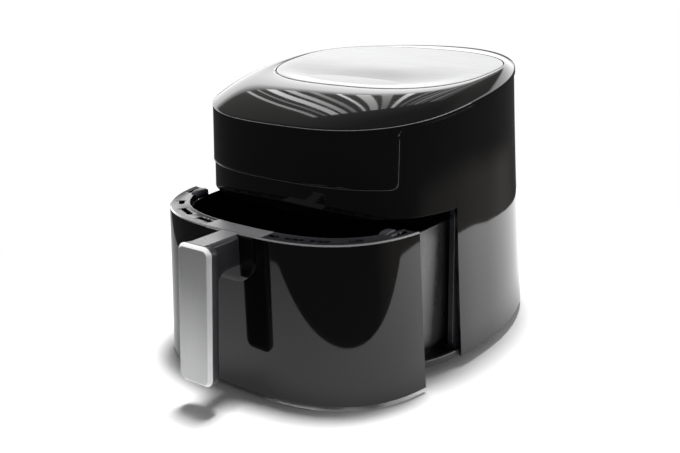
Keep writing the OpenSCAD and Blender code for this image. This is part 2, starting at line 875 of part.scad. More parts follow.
module drawer_rim() {
    ahead = [for (t = [180 : step : 360]) t];
    outer = [for (t = ahead) edge(t, drawer_top, rim_inset, rim_inset)];
    inner = [for (i = [len(ahead) - 1 : -1 : 0]) edge(ahead[i], drawer_top, side_in + 0.5, pan_front_in + 0.5)];
    color([0.3, 0.3, 0.3]) in_drawer() difference() {
        union() {
            translate([0, 0, rim_low]) linear_extrude(drawer_top - rim_low) polygon(concat(outer, inner));
            for (s = side_y)
                box([s > 0 ? 112 : -120, seam_y - 26, rim_low + 2],
                    [s > 0 ? 120 : -112, seam_y - 8, drawer_top + 3.2]);
        }
        translate([-far / 2, seam_y - 1.6, -1]) cube([far, far, far]);
        for (s = left_slots)
            rim_slot(s[0], s[1]);
        for (s = right_slots)
            rim_slot(s[0], s[1]);
        for (x = side_slots)
            translate([x + sign(x) * 3, seam_y - 14, rim_low + 1.4])
                rotate([0, 0, 90 + sign(x) * 14]) slot(19, 5.6, 20);
    }
}

module drawer_pan() {
    bend = 10;
    outer = [[pan_low, bend], [pan_low + 2.6, bend * 0.3 + draft], [pan_low + bend, draft], [pan_top, 0]];
    color([0.45, 0.45, 0.45]) in_drawer()
        loft(concat(
            [for (o = outer) pan_ring(o[0], o[1])],
            [pan_ring(pan_top, pan_t), pan_ring(pan_low + bend, draft + pan_t),
             pan_ring(pan_low + 2.6 + pan_t, bend * 0.3 + draft + pan_t), pan_ring(pan_low + pan_t, bend + pan_t)]
        ));
}

module front_brace() {
    z0 = 36;
    color([0.1, 0.1, 0.1]) in_drawer() {
        box([-34, -138.4, z0], [34, -136.4, z0 + 30]);
        box([-34, -136.4, z0 + 10], [34, -front_r(z0) + pan_front_in + draft - 0.6, z0 + 20]);
    }
}

module handle_bracket() {
    color([0.65, 0.65, 0.67]) in_drawer() difference() {
        box([-22, -138.2, 112], [22, -136.2, 145]);
        for (z = screw_zs)
            translate([0, -140, z]) rotate([-90, 0, 0]) cylinder(r = 2.7, h = 10);
    }
}

module handle_screws() {
    head_y = -136;
    color([0.6, 0.6, 0.62]) in_drawer()
        for (z = screw_zs)
            translate([0, head_y, z]) rotate([90, 0, 0]) {
                cylinder(r = 2.4, h = 26);
                translate([0, 0, -2.6]) cylinder(r = 3.6, h = 2.6);
            }
}

flange_w = 28.5;
flange_low = 110;
flange_r = 21;
flange_t = 2;

module handle_flange() {
    color([0.05, 0.05, 0.06]) in_drawer() difference() {
        intersection() {
            band([ring(flange_low - 6, shell_step - 0.2 - flange_t),
            ring(drawer_top + 6, shell_step - 0.2 - flange_t),
                  ring(drawer_top + 6, shell_step - 0.2), ring(flange_low - 6, shell_step - 0.2)]);
            translate([0, -front_reach + 20, 0]) rotate([90, 0, 0]) linear_extrude(deep) union() {
                translate([-flange_w, flange_low + flange_r])
                    square([2 * flange_w, drawer_top - flange_low - flange_r - 0.3]);
                for (s = side_y)
                    translate([s * (flange_w - flange_r), flange_low + flange_r]) circle(r = flange_r);
                translate([-flange_w + flange_r, flange_low]) square([2 * (flange_w - flange_r), flange_r]);
            }
        }
        for (z = screw_zs)
            translate([0, -front_reach - 20, z]) rotate([-90, 0, 0]) cylinder(r = 2.7, h = 50);
    }
}

// The grip's own frame: origin at the middle of the silver plate's top edge, Y into the handle
module grip_frame() {
    in_drawer() translate([0, grip_y, drawer_top]) rotate([-grip_lean, 0, 0]) children();
}

// A rounded rectangle as large as the grip less twice less, at depth y
function grip_ring(y, less, r) = [
    for (q = [0 : 3])
        for (a = [0 : 11.25 : 90])
            let (t = q * 90 + a)
            let (cx = (q == 0 || q == 3 ? 1 : -1) * (grip_w / 2 - less - r))
            let (cz = (q < 2 ? 1 : -1) * (grip_h / 2 - less - r))
            [-cx - r * cos(t), y, cz + r * sin(t) - grip_h / 2]
];

plate_t = grip_bevel + 1;

module handle_plate() {
    color([0.7, 0.7, 0.71]) grip_frame()
        loft([grip_ring(0, grip_bevel, 5), grip_ring(grip_bevel, 0, 8), grip_ring(plate_t, 0, 8)]);
}

module handle_grip() {
    low = plate_t + 0.12;
    turns = [[5, 0.4], [7.5, 1.2], [9.6, 3], [11, 6]];
    arm_top = drawer_top - 0.6;
    arm_back = -front_r(drawer_top - arm_h) - flange_t + shell_step - 0.6;
    arm_front = grip_y + plate_t + 4;
    w = arm_w / 2;
    c = 3.5;
    color([0.08, 0.08, 0.09]) difference() {
        union() {
            grip_frame()
                loft(concat([grip_ring(low, 0.4, 8)], [for (t = turns) grip_ring(low + t[0], t[1], 8)]));
            in_drawer()
                translate([0, arm_back, arm_top]) rotate([90, 0, 0]) linear_extrude(arm_back - arm_front)
                    polygon([[w, -c], [w - c, 0], [c - w, 0], [-w, -c], [-w, c - arm_h],
                             [c - w, -arm_h], [w - c, -arm_h], [w, c - arm_h]]);
        }
        in_drawer()
            for (z = screw_zs)
                translate([0, arm_back + 1, z]) rotate([90, 0, 0]) cylinder(r = 2.5, h = 20);
    }
}

// ---- crisper plate ----

crisper_z = 27;
crisper_t = 1.4;

module crisper_plate() {
    clear = draft + pan_t + 3.5;
    pitch = 17;
    color([0.3, 0.3, 0.3]) in_drawer() translate([0, 0, crisper_z]) linear_extrude(crisper_t) difference() {
        polygon(pan_outline(crisper_z, clear));
        for (x = [-102 : pitch : 102])
            for (y = [-94 : pitch : 93])
                if (pow(abs(x) / 112, 3) + pow(abs(y) / 108, 3) < 1)
                    translate([x, y]) circle(r = 3.6, $fn = 24);
    }
}

module plate_bumpers() {
    color([0.15, 0.15, 0.15]) in_drawer()
        for (s = side_y)
            for (p = [[104, -45], [104, 40]])
                translate([s * p.x, p.y, pan_low + pan_t + 0.3]) cylinder(r = 5, h = crisper_z - pan_low - pan_t - 0.4);
}

// ---- the nodes ----

rear_shell();
front_hood();
top_cover();
top_plate();
base_plate();
foot_front_left();
foot_front_right();
foot_rear_left();
foot_rear_right();
base_screws();
opening_frame();
exhaust_grille();
cord_gland();
oven_cavity();
runner_left();
runner_right();
heat_shield();
heating_element();
element_clips();
heater_guard();
exhaust_duct();
hot_air_fan();
fan_nut();
motor_shaft();
motor_rotor();
cooling_fan();
bearing_lower();
bearing_upper();
motor_stator();
motor_coil();
motor_bracket_lower();
motor_bracket_upper();
motor_screws();
thermal_fuse();
temperature_sensor();
control_board();
display_module();
touch_springs();
board_carrier();
power_board();
transformer();
relay();
filter_capacitor();
terminal_block();
interlock_switch();
interlock_pin();
drawer_front();
drawer_rim();
drawer_pan();
front_brace();
handle_bracket();
handle_screws();
handle_flange();
handle_grip();
handle_plate();
crisper_plate();
plate_bumpers();
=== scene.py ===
"""Looks of the air fryer: smooth shells, a slotted drawer rim, a satin handle and every finish,
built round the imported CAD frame. Shapes are worked out in millimetres in the body's own frame
(X = 0 in the plane of symmetry, Y = 0 at the widest section, Z = 0 on the table)."""
import json
from math import acos, asin, copysign, cos, pi, radians, sin, sqrt, tan

import bmesh
import bpy
from mathutils import Matrix, Vector


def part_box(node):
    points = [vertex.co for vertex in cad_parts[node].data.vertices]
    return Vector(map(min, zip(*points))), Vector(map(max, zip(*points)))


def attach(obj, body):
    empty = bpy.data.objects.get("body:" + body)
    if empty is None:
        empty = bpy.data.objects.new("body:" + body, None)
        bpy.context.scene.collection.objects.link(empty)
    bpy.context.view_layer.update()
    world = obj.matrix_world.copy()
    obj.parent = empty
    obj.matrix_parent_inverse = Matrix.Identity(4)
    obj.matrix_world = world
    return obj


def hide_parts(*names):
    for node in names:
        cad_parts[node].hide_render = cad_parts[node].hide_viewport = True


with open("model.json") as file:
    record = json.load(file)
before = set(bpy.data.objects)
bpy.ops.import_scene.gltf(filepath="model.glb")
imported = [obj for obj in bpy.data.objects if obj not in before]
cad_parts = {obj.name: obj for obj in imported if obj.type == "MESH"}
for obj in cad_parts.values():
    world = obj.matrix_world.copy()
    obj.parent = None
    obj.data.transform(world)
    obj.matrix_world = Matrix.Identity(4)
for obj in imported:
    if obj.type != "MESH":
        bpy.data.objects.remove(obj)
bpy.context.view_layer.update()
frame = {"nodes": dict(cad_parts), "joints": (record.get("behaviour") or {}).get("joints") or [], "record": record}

MM = 0.001
joints = {j["name"]: j for j in frame["joints"]}


def add_object(name, data):
    obj = bpy.data.objects.new(name, data)
    bpy.context.scene.collection.objects.link(obj)
    return obj


# ---------------- camera

CAMERA_AT = Vector((546.0, -726.9, 403.0)) * MM
CAMERA_AZIMUTH, CAMERA_ELEVATION, CAMERA_ROLL = 37.832, 17.861, -1.204
SENSOR, LENS = 36.0, 48.10


def make_camera():
    az, el, roll = (radians(a) for a in (CAMERA_AZIMUTH, CAMERA_ELEVATION, CAMERA_ROLL))
    view = Vector((-sin(az) * cos(el), cos(az) * cos(el), -sin(el)))
    level = Vector((cos(az), sin(az), 0))
    upright = level.cross(view)
    right = level * cos(roll) + upright * sin(roll)
    up = upright * cos(roll) - level * sin(roll)
    data = bpy.data.cameras.new("camera")
    data.sensor_width, data.lens = SENSOR, LENS
    data.clip_start, data.clip_end = 0.05, 50
    camera = add_object("camera", data)
    basis = Matrix((right, up, -view)).transposed().to_4x4()
    camera.matrix_world = Matrix.Translation(CAMERA_AT) @ basis
    bpy.context.scene.camera = camera


make_camera()

# ---------------- form of the body

HALF_BASE, SIDE_TAPER, WAIST = 150.0, 0.063, 0.00007
FRONT_REACH, FRONT_TAPER, FRONT_POWER = 146.7, 0.031, 2.857
BACK_REACH, BACK_TAPER, BACK_POWER = 215.6, 0.137, 2.014
FOOT_H, SEAM_Y, SHELL_STEP, COVER_OUT = 11.0, -48.8, 0.6, 0.5
RIM_FRONT, RIM_SLOPE, RIM_BEND, RIM_BAND = 238.0, 0.1535, 0.00013, 4.0
APRON_Z, APRON_W, APRON_R = 187.0, 113.7, 5.0
PLATE_W, PLATE_FRONT, PLATE_BACK = 121.5, 101.0, 69.0
PLATE_Y, PLATE_Z, PLATE_TILT = 49.6, 272.75, radians(5.73)
PLATE_POWERS = (2.684, 2.39)
DOME_POWER = 2.1
DRAWER_LOW, DRAWER_TOP, OPENING_TOP = 4.85, 154.1, 159.7
GAP = 0.15
COLUMNS = 120            # columns round half an outline

# The drawer's travel from shut to the rest pose, and the body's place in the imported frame
DRAWER_OUT = -joints["drawer_slide"]["range_m"][0] / MM
BODY_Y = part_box("rear_shell")[1].y / MM - (BACK_REACH - SHELL_STEP)
CASING_SHIFT = Vector((0, BODY_Y, 0))
DRAWER_SHIFT = Vector((0, BODY_Y - DRAWER_OUT, 0))
SHIFT = {"casing": CASING_SHIFT, "air_mover": CASING_SHIFT, "drawer": DRAWER_SHIFT, "crisper": DRAWER_SHIFT}
AXIS_Y = joints["fan_spin"]["pos_m"][1] / MM - BODY_Y

X, Y, Z = Vector((1, 0, 0)), Vector((0, 1, 0)), Vector((0, 0, 1))


def spow(v, e):
    """Power that keeps the sign."""
    return copysign(abs(v) ** e, v)


def smooth(f):
    """Eases from 0 to 1 with level ends."""
    f = max(0.0, min(1.0, f))
    return 3 * f ** 2 - 2 * f ** 3


def circle(n):
    return [2 * pi * k / n for k in range(n)]


def fractions(n):
    """n + 1 numbers from 0 to 1."""
    return [k / n for k in range(n + 1)]


def spaced(n):
    """n + 1 numbers from -1 to 1."""
    return [-1 + 2 * k / n for k in range(n + 1)]


def half_w(z):
    return HALF_BASE - SIDE_TAPER * (z - FOOT_H) + WAIST * (z - FOOT_H) ** 2


def front_r(z):
    return FRONT_REACH - FRONT_TAPER * (z - FOOT_H)


def back_r(z):
    return BACK_REACH - BACK_TAPER * (z - FOOT_H) + WAIST * (z - FOOT_H) ** 2


def edge(t, z, ix=0.0, iy=None):
    """Point of the outline at angle t (radians) and height z, ix and iy inside it."""
    iy = ix if iy is None else iy
    n, b = (FRONT_POWER, front_r(z)) if sin(t) < 0 else (BACK_POWER, back_r(z))
    return Vector(((half_w(z) - ix) * spow(cos(t), 2 / n), (b - iy) * spow(sin(t), 2 / n), z))


def angle_at_x(x, z, inset=0.0):
    """Angle of the front outline where it is at x."""
    return -acos(max(-1.0, min(1.0, spow(x / (half_w(z) - inset), FRONT_POWER / 2))))


def edge_at_x(x, z, inset):
    return edge(angle_at_x(x, z, inset), z, inset)


def seam_angle(z, iy, y=SEAM_Y):
    """How far the seam lies ahead of the widest section, as an angle."""
    return asin(min(1.0, (abs(y) / (front_r(z) - iy)) ** (FRONT_POWER / 2)))


def rim_z(y):
    return RIM_FRONT + RIM_SLOPE * (y + FRONT_REACH) - RIM_BEND * (y + FRONT_REACH) ** 2


def rim_height(t):
    return rim_z(edge(t, RIM_FRONT).y)


def rim_point(t, drop=0.0):
    """Point of the cover's rim, drop below its crest."""
    p = edge(t, rim_height(t), -COVER_OUT)
    return Vector((p.x, p.y, rim_z(p.y) - drop))


def below_band(y):
    """Top of the walls under the cover's band."""
    return rim_z(y) - RIM_BAND - 2 * GAP


def plate_point(t, grow=0.0, drop=0.0):
    """Point of the plate's outline, grown sideways and dropped square to the plate."""
    ahead = sin(t) < 0
    n = PLATE_POWERS[0] if ahead else PLATE_POWERS[1]
    b = PLATE_FRONT if ahead else PLATE_BACK
    x = (PLATE_W + grow) * spow(cos(t), 2 / n)
    y = (b + grow) * spow(sin(t), 2 / n)
    return Vector((x, PLATE_Y + y * cos(PLATE_TILT) + drop * sin(PLATE_TILT),
                   PLATE_Z + y * sin(PLATE_TILT) - drop * cos(PLATE_TILT)))


def dome_point(t, s):
    """Point of the dome, s of the way from the rim to the plate."""
    low, high = rim_point(t), plate_point(t, 0.5)
    p = low.lerp(high, s)
    p.z = low.z + (high.z - low.z) * (1 - (1 - s) ** DOME_POWER)
    return p


def front_point(q, z, ix, iy=None, seam=SEAM_Y - GAP):
    """Point of the front between the seams: q runs from -1 to 1."""
    iy = ix if iy is None else iy
    half = pi / 2 - seam_angle(z, iy, seam)
    return edge(-pi / 2 + spow(q, 1.3) * half, z, ix, iy)


FRONT_COLUMNS = spaced(COLUMNS)

# ---------------- mesh helpers


def to_mesh(name, bm, shift):
    """A mesh in metres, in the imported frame, from a bmesh in millimetres."""
    for v in bm.verts:
        v.co = (v.co + shift) * MM
    data = bpy.data.meshes.new(name)
    bm.to_mesh(data)
    bm.free()
    return data


def shade(data, sharp):
    data.shade_smooth()
    data.set_sharp_from_angle(angle=radians(sharp))


def outward(bm):
    bmesh.ops.recalc_face_normals(bm, faces=bm.faces)


def new_object(name, bm, body, node, slot, material=None, sharp=35):
    """A piece that rides on its body, in place of a CAD node if one is named."""
    data = to_mesh(name, bm, SHIFT[body])
    shade(data, sharp)
    obj = add_object(name, data)
    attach(obj, body)
    if node:
        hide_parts(node)
    data.materials.append(MAT[material or slot])
    return obj


def settle(obj, sharp=35):
    """Turns the modifiers' result into the object's own mesh."""
    graph = bpy.context.evaluated_depsgraph_get()
    graph.update()
    data = bpy.data.meshes.new_from_object(obj.evaluated_get(graph), depsgraph=graph)
    obj.modifiers.clear()
    old, obj.data = obj.data, data
    data.name = obj.name
    bpy.data.meshes.remove(old)
    shade(data, sharp)


def loft(bm, rows, closed=True, wrap=False):
    """Quads through rows of points. closed joins each row's ends, wrap joins last row to first."""
    grid = [[bm.verts.new(p) for p in row] for row in rows]
    n = len(rows[0])
    for low, high in list(zip(grid, grid[1:])) + ([(grid[-1], grid[0])] if wrap else []):
        for i in range(n if closed else n - 1):
            j = (i + 1) % n
            bm.faces.new((low[i], low[j], high[j], high[i]))
    return grid


def caps(bm, grid):
    """Closes a loft's first and last row."""
    bm.faces.new(grid[0][::-1])
    bm.faces.new(grid[-1])


def closed_loft(bm, rows):
    caps(bm, loft(bm, rows))


def sheet(rows):
    """A bmesh of one open sheet."""
    bm = bmesh.new()
    loft(bm, rows, closed=False)
    return bm


def bevel(obj, width, segments=2, angle=32, sharp=35):
    mod = obj.modifiers.new("bevel", "BEVEL")
    mod.width, mod.segments = width * MM, segments
    mod.limit_method, mod.angle_limit = "ANGLE", radians(angle)
    mod.harden_normals = mod.use_clamp_overlap = True
    settle(obj, sharp)


def thicken(obj, wall):
    mod = obj.modifiers.new("wall", "SOLIDIFY")
    mod.thickness, mod.offset, mod.use_even_offset = wall * MM, -1, True


def cut(obj, bm, body="casing"):
    """Cuts the solids in bm (millimetres) out of obj."""
    outward(bm)
    tool = add_object("cutter", to_mesh("cutter", bm, SHIFT[body]))
    mod = obj.modifiers.new("cut", "BOOLEAN")
    mod.operation, mod.solver, mod.object = "DIFFERENCE", "EXACT", tool
    settle(obj)
    data = tool.data
    bpy.data.objects.remove(tool)
    bpy.data.meshes.remove(data)


def follow_outline(obj):
    """Sets the outer faces' normals from the outline's own formula, so cuts leave no marks."""
    step, facing, near = 0.05, 0.93, 0.012

    def level(p):
        n, b = (FRONT_POWER, front_r(p.z)) if p.y < 0 else (BACK_POWER, back_r(p.z))
        return (abs(p.x) / (half_w(p.z) - SHELL_STEP)) ** n + (abs(p.y) / (b - SHELL_STEP)) ** n

    data = obj.data
    normals = [Vector(n.vector) for n in data.corner_normals]
    for face in data.polygons:
        for i in face.loop_indices:
            p = data.vertices[data.loops[i].vertex_index].co / MM - CASING_SHIFT
            n = Vector([level(p + d * step) - level(p - d * step) for d in (X, Y, Z)]).normalized()
            if n.dot(face.normal) > facing and abs(level(p) - 1) < near:
                normals[i] = n
    data.normals_split_custom_set(normals)


def prism(bm, points, depth):
    """A solid from a closed outline, moved along the vector depth."""
    closed_loft(bm, [points, [p + depth for p in points]])


def slot_outline(length, width, centre, across, up, arc=6):
    """Outline of a slot with round ends, about centre and along the unit vector across."""
    r, half = width / 2, (length - width) / 2
    turns = [pi / 2 * f for f in spaced(arc)]
    return [centre + across * side * (half + r * cos(a)) + up * side * r * sin(a)
            for side in (1, -1) for a in turns]


def tube(bm, path, radius, sides=8):
    """A round rod along a list of points."""
    rings, ref = [], None
    for i, p in enumerate(path):
        along = (path[min(i + 1, len(path) - 1)] - path[max(i - 1, 0)]).normalized()
        ref = ref or along.orthogonal().normalized()
        ref = (ref - along * ref.dot(along)).normalized()
        side = along.cross(ref)
        rings.append([p + (ref * cos(w) + side * sin(w)) * radius for w in circle(sides)])
    closed_loft(bm, rings)


def turned(bm, profile, x, y, steps=48, hole=False):
    """A body of revolution about the vertical through x and y, from (radius, z) points."""
    grid = loft(bm, [[Vector((x + r * cos(a), y + r * sin(a), z)) for a in circle(steps)]
                     for r, z in profile], wrap=hole)
    if not hole:
        caps(bm, grid)


def arc(cx, cy, r, a0, a1, steps):
    """Points of an arc from a0 to a1 degrees."""
    turns = [radians(a0 + (a1 - a0) * f) for f in fractions(steps)]
    return [(cx + r * cos(a), cy + r * sin(a)) for a in turns]


def rounded_rect(w, h, r, steps=6):
    """Closed outline of a rounded rectangle about the origin, counterclockwise."""
    points = []
    for q, (sx, sy) in enumerate(((1, 1), (-1, 1), (-1, -1), (1, -1))):
        points += arc(sx * (w / 2 - r), sy * (h / 2 - r), r, 90 * q, 90 * q + 90, steps)
    return points


# ---------------- materials


def feed(tree, node, inputs):
    """Sets or links a node's inputs."""
    for key, value in inputs.items():
        if isinstance(value, bpy.types.NodeSocket):
            tree.links.new(value, node.inputs[key])
        else:
            node.inputs[key].default_value = value


def make(tree, kind, out, inputs, **settings):
    """A new node. The result is its output of that name or number."""
    node = tree.nodes.new("ShaderNode" + kind)
    for key, value in settings.items():
        setattr(node, key, value)
    feed(tree, node, inputs)
    return node.outputs[out]


def object_space(tree):
    return make(tree, "TexCoord", "Object", {})


def noise_node(tree, scale, detail=4.0, roughness=0.55, stretch=(1, 1, 1)):
    """Noise over object space, scale in features for each metre, stretched by three factors."""
    place = make(tree, "Mapping", "Vector", {"Vector": object_space(tree), "Scale": stretch})
    return make(tree, "TexNoise", "Fac", {"Vector": place, "Scale": scale, "Detail": detail,
                                          "Roughness": roughness})


def spread(tree, fac, low, high, start=0.3, end=0.7):
    """A number that runs from low to high while fac runs from start to end."""
    return make(tree, "MapRange", "Result", {"Value": fac, "From Min": start, "From Max": end,
                                             "To Min": low, "To Max": high})


def maths(tree, operation, *inputs):
    return make(tree, "Math", 0, dict(enumerate(inputs)), operation=operation)


def mix_colour(tree, fac, a, b):
    a, b = ((*c, 1) if isinstance(c, tuple) else c for c in (a, b))
    return make(tree, "Mix", "Result", {"A": a, "B": b, "Factor": fac}, data_type="RGBA")


def grey(value):
    return value, value, value


def scaled(colour, factor, plus=0.0):
    return tuple(min(1.0, c * factor + plus) for c in colour)


def node_tree(name):
    mat = bpy.data.materials.new(name)
    mat.use_nodes = True
    return mat, mat.node_tree


def finished(mat, base, rough, height, strength, distance, **constants):
    """Feeds the shader: colour, roughness, relief in metres, and constants such as Metallic."""
    tree = mat.node_tree
    normal = make(tree, "Bump", "Normal", {"Height": height, "Strength": strength, "Distance": distance})
    feed(tree, tree.nodes["Principled BSDF"], {"Base Color": base, "Roughness": rough, "Normal": normal})
    feed(tree, tree.nodes["Principled BSDF"], constants)
    return mat


def gloss_plastic(name, colour, rough=0.04):
    """Moulded gloss plastic: slight flow waviness, fine dust and hairline wipe marks."""
    mat, tree = node_tree(name)
    specks = spread(tree, noise_node(tree, 1500, 3.0, 0.7), 0.0, 0.55, 0.62, 0.78)
    wipes = noise_node(tree, 60, 5.0, 0.6, (1, 1, 9))
    return finished(mat, mix_colour(tree, specks, colour, scaled(colour, 1, 0.004)),
                    spread(tree, wipes, rough * 0.7, rough * 1.7), noise_node(tree, 28, 2.0), 0.04, 0.0004,
                    IOR=1.49)


def satin_plastic(name, colour, lighter, rough=0.38, grain=2600, depth=0.12, edge_wear_and_highlight_amount=0.25):
    """Spark-eroded satin plastic: fine grain, cloudy colour, convex edges made lighter, partly as wear and partly
    as a painted highlight.
    """
    mat, tree = node_tree(name)
    cloud = noise_node(tree, 35, 3.0)
    # convex edges lightened by pointiness: wear, and in part a painted highlight
    edge_wear_and_highlight = spread(tree, make(tree, "NewGeometry", "Pointiness", {}), 0.0, edge_wear_and_highlight_amount, 0.52, 0.62)
    base = mix_colour(tree, spread(tree, cloud, 0.0, 0.6), colour, lighter)
    return finished(mat, mix_colour(tree, edge_wear_and_highlight, base, scaled(lighter, 1.6, 0.01)),
                    spread(tree, cloud, rough * 0.85, rough * 1.2), noise_node(tree, grain, 2.0, 0.6), depth,
                    0.0002)


def brushed_metal(name, colour, rough=0.3, stretch=(1, 1, 1), scale=900, depth=0.06, tint=None, metallic=1.0,
                  contrast=0.86):
    """Metal with fine drawn lines along the axis that stretch shrinks, and a tint in clouds."""
    mat, tree = node_tree(name)
    lines = noise_node(tree, scale, 3.0, 0.65, stretch)
    base = mix_colour(tree, spread(tree, lines, 0.0, 1.0), scaled(colour, contrast), colour)
    if tint:
        base = mix_colour(tree, spread(tree, noise_node(tree, 20, 3.0), 0.0, 0.8, 0.4, 0.65), base, tint)
    return finished(mat, base, spread(tree, lines, rough * 0.85, rough * 1.2), lines, depth, 0.0001,
                    Metallic=metallic)


def spangled_metal(name, colour, rough=0.35):
    """Aluminised or galvanised sheet: crystals of slightly different brightness, dull stains."""
    mat, tree = node_tree(name)
    crystals = make(tree, "TexVoronoi", "Color", {"Vector": object_space(tree), "Scale": 160})
    bright, dull = (make(tree, "SeparateColor", channel, {"Color": crystals}) for channel in ("Red", "Green"))
    stain = noise_node(tree, 12, 4.0)
    base = mix_colour(tree, spread(tree, bright, 0.0, 0.6, 0, 1), scaled(colour, 0.7), colour)
    brown = (colour[0] * 0.55, colour[1] * 0.48, colour[2] * 0.40)
    return finished(mat, mix_colour(tree, spread(tree, stain, 0.0, 0.5, 0.5, 0.75), base, brown),
                    spread(tree, dull, rough * 0.8, rough * 1.4, 0, 1), stain, 0.05, 0.0005, Metallic=1.0)


def non_stick(name, colour, lighter, rough, metallic):
    """Non-stick coating: metallic flakes in a satin film over slightly rolled sheet."""
    mat, tree = node_tree(name)
    flakes = spread(tree, noise_node(tree, 5200, 1.0, 0.5), 0.0, 1.0, 0.45, 0.7)
    rolled = noise_node(tree, 90, 3.0, 0.5, (1, 1, 0.25))
    return finished(mat, mix_colour(tree, flakes, colour, lighter),
                    spread(tree, rolled, rough * 0.85, rough * 1.25), rolled, 0.12, 0.0003, Metallic=metallic)


def rubber(name, colour, rough=0.7):
    mat, tree = node_tree(name)
    bloom = noise_node(tree, 120, 4.0)
    return finished(mat, mix_colour(tree, spread(tree, bloom, 0.0, 0.7), colour, scaled(colour, 1, 0.03)),
                    spread(tree, bloom, rough * 0.85, rough * 1.2), noise_node(tree, 1800, 2.0), 0.25, 0.0002)


def board_finish(name, colour, trace):
    """Circuit board: copper traces seen through solder resist, and bright solder dots."""
    mat, tree = node_tree(name)
    upright = make(tree, "Mapping", "Vector", {"Vector": object_space(tree), "Rotation": (pi / 2, 0, 0)})
    traces = make(tree, "TexBrick", "Fac", {"Vector": upright, "Scale": 60, "Mortar Size": 0.035},
                  offset_frequency=3, squash_frequency=4, squash=1.7)
    dots = make(tree, "TexVoronoi", "Distance", {"Vector": object_space(tree), "Scale": 280})
    solder = spread(tree, dots, 1.0, 0.0, 0.16, 0.22)
    base = mix_colour(tree, solder, mix_colour(tree, traces, colour, trace), (0.6, 0.6, 0.58))
    return finished(mat, base, spread(tree, traces, 0.3, 0.22, 0, 1), traces, 0.3, 0.0001, Metallic=solder)


def layered(name, colour, scale, detail, evenness, stretch, dark, rough, depth, distance, metallic):
    """Fine parallel layers or wires with darker gaps between them."""
    mat, tree = node_tree(name)
    lines = noise_node(tree, scale, detail, evenness, stretch)
    return finished(mat, mix_colour(tree, spread(tree, lines, 0.0, 1.0), scaled(colour, dark), colour),
                    spread(tree, lines, *rough), lines, depth, distance, Metallic=metallic)


def heater_sheath(name):
    """Steel sheath tinted by heat: straw to blue-brown patches along the tube."""
    mat, tree = node_tree(name)
    patches = spread(tree, noise_node(tree, 18, 4.0), 0.0, 1.0, 0.35, 0.65)
    fine = noise_node(tree, 900, 3.0)
    base = mix_colour(tree, patches, (0.16, 0.13, 0.11), (0.20, 0.20, 0.23))
    return finished(mat, mix_colour(tree, spread(tree, fine, 0.0, 0.5, 0.5, 0.8), base, (0.42, 0.38, 0.33)),
                    spread(tree, fine, 0.35, 0.6), fine, 0.15, 0.0002, Metallic=0.9)


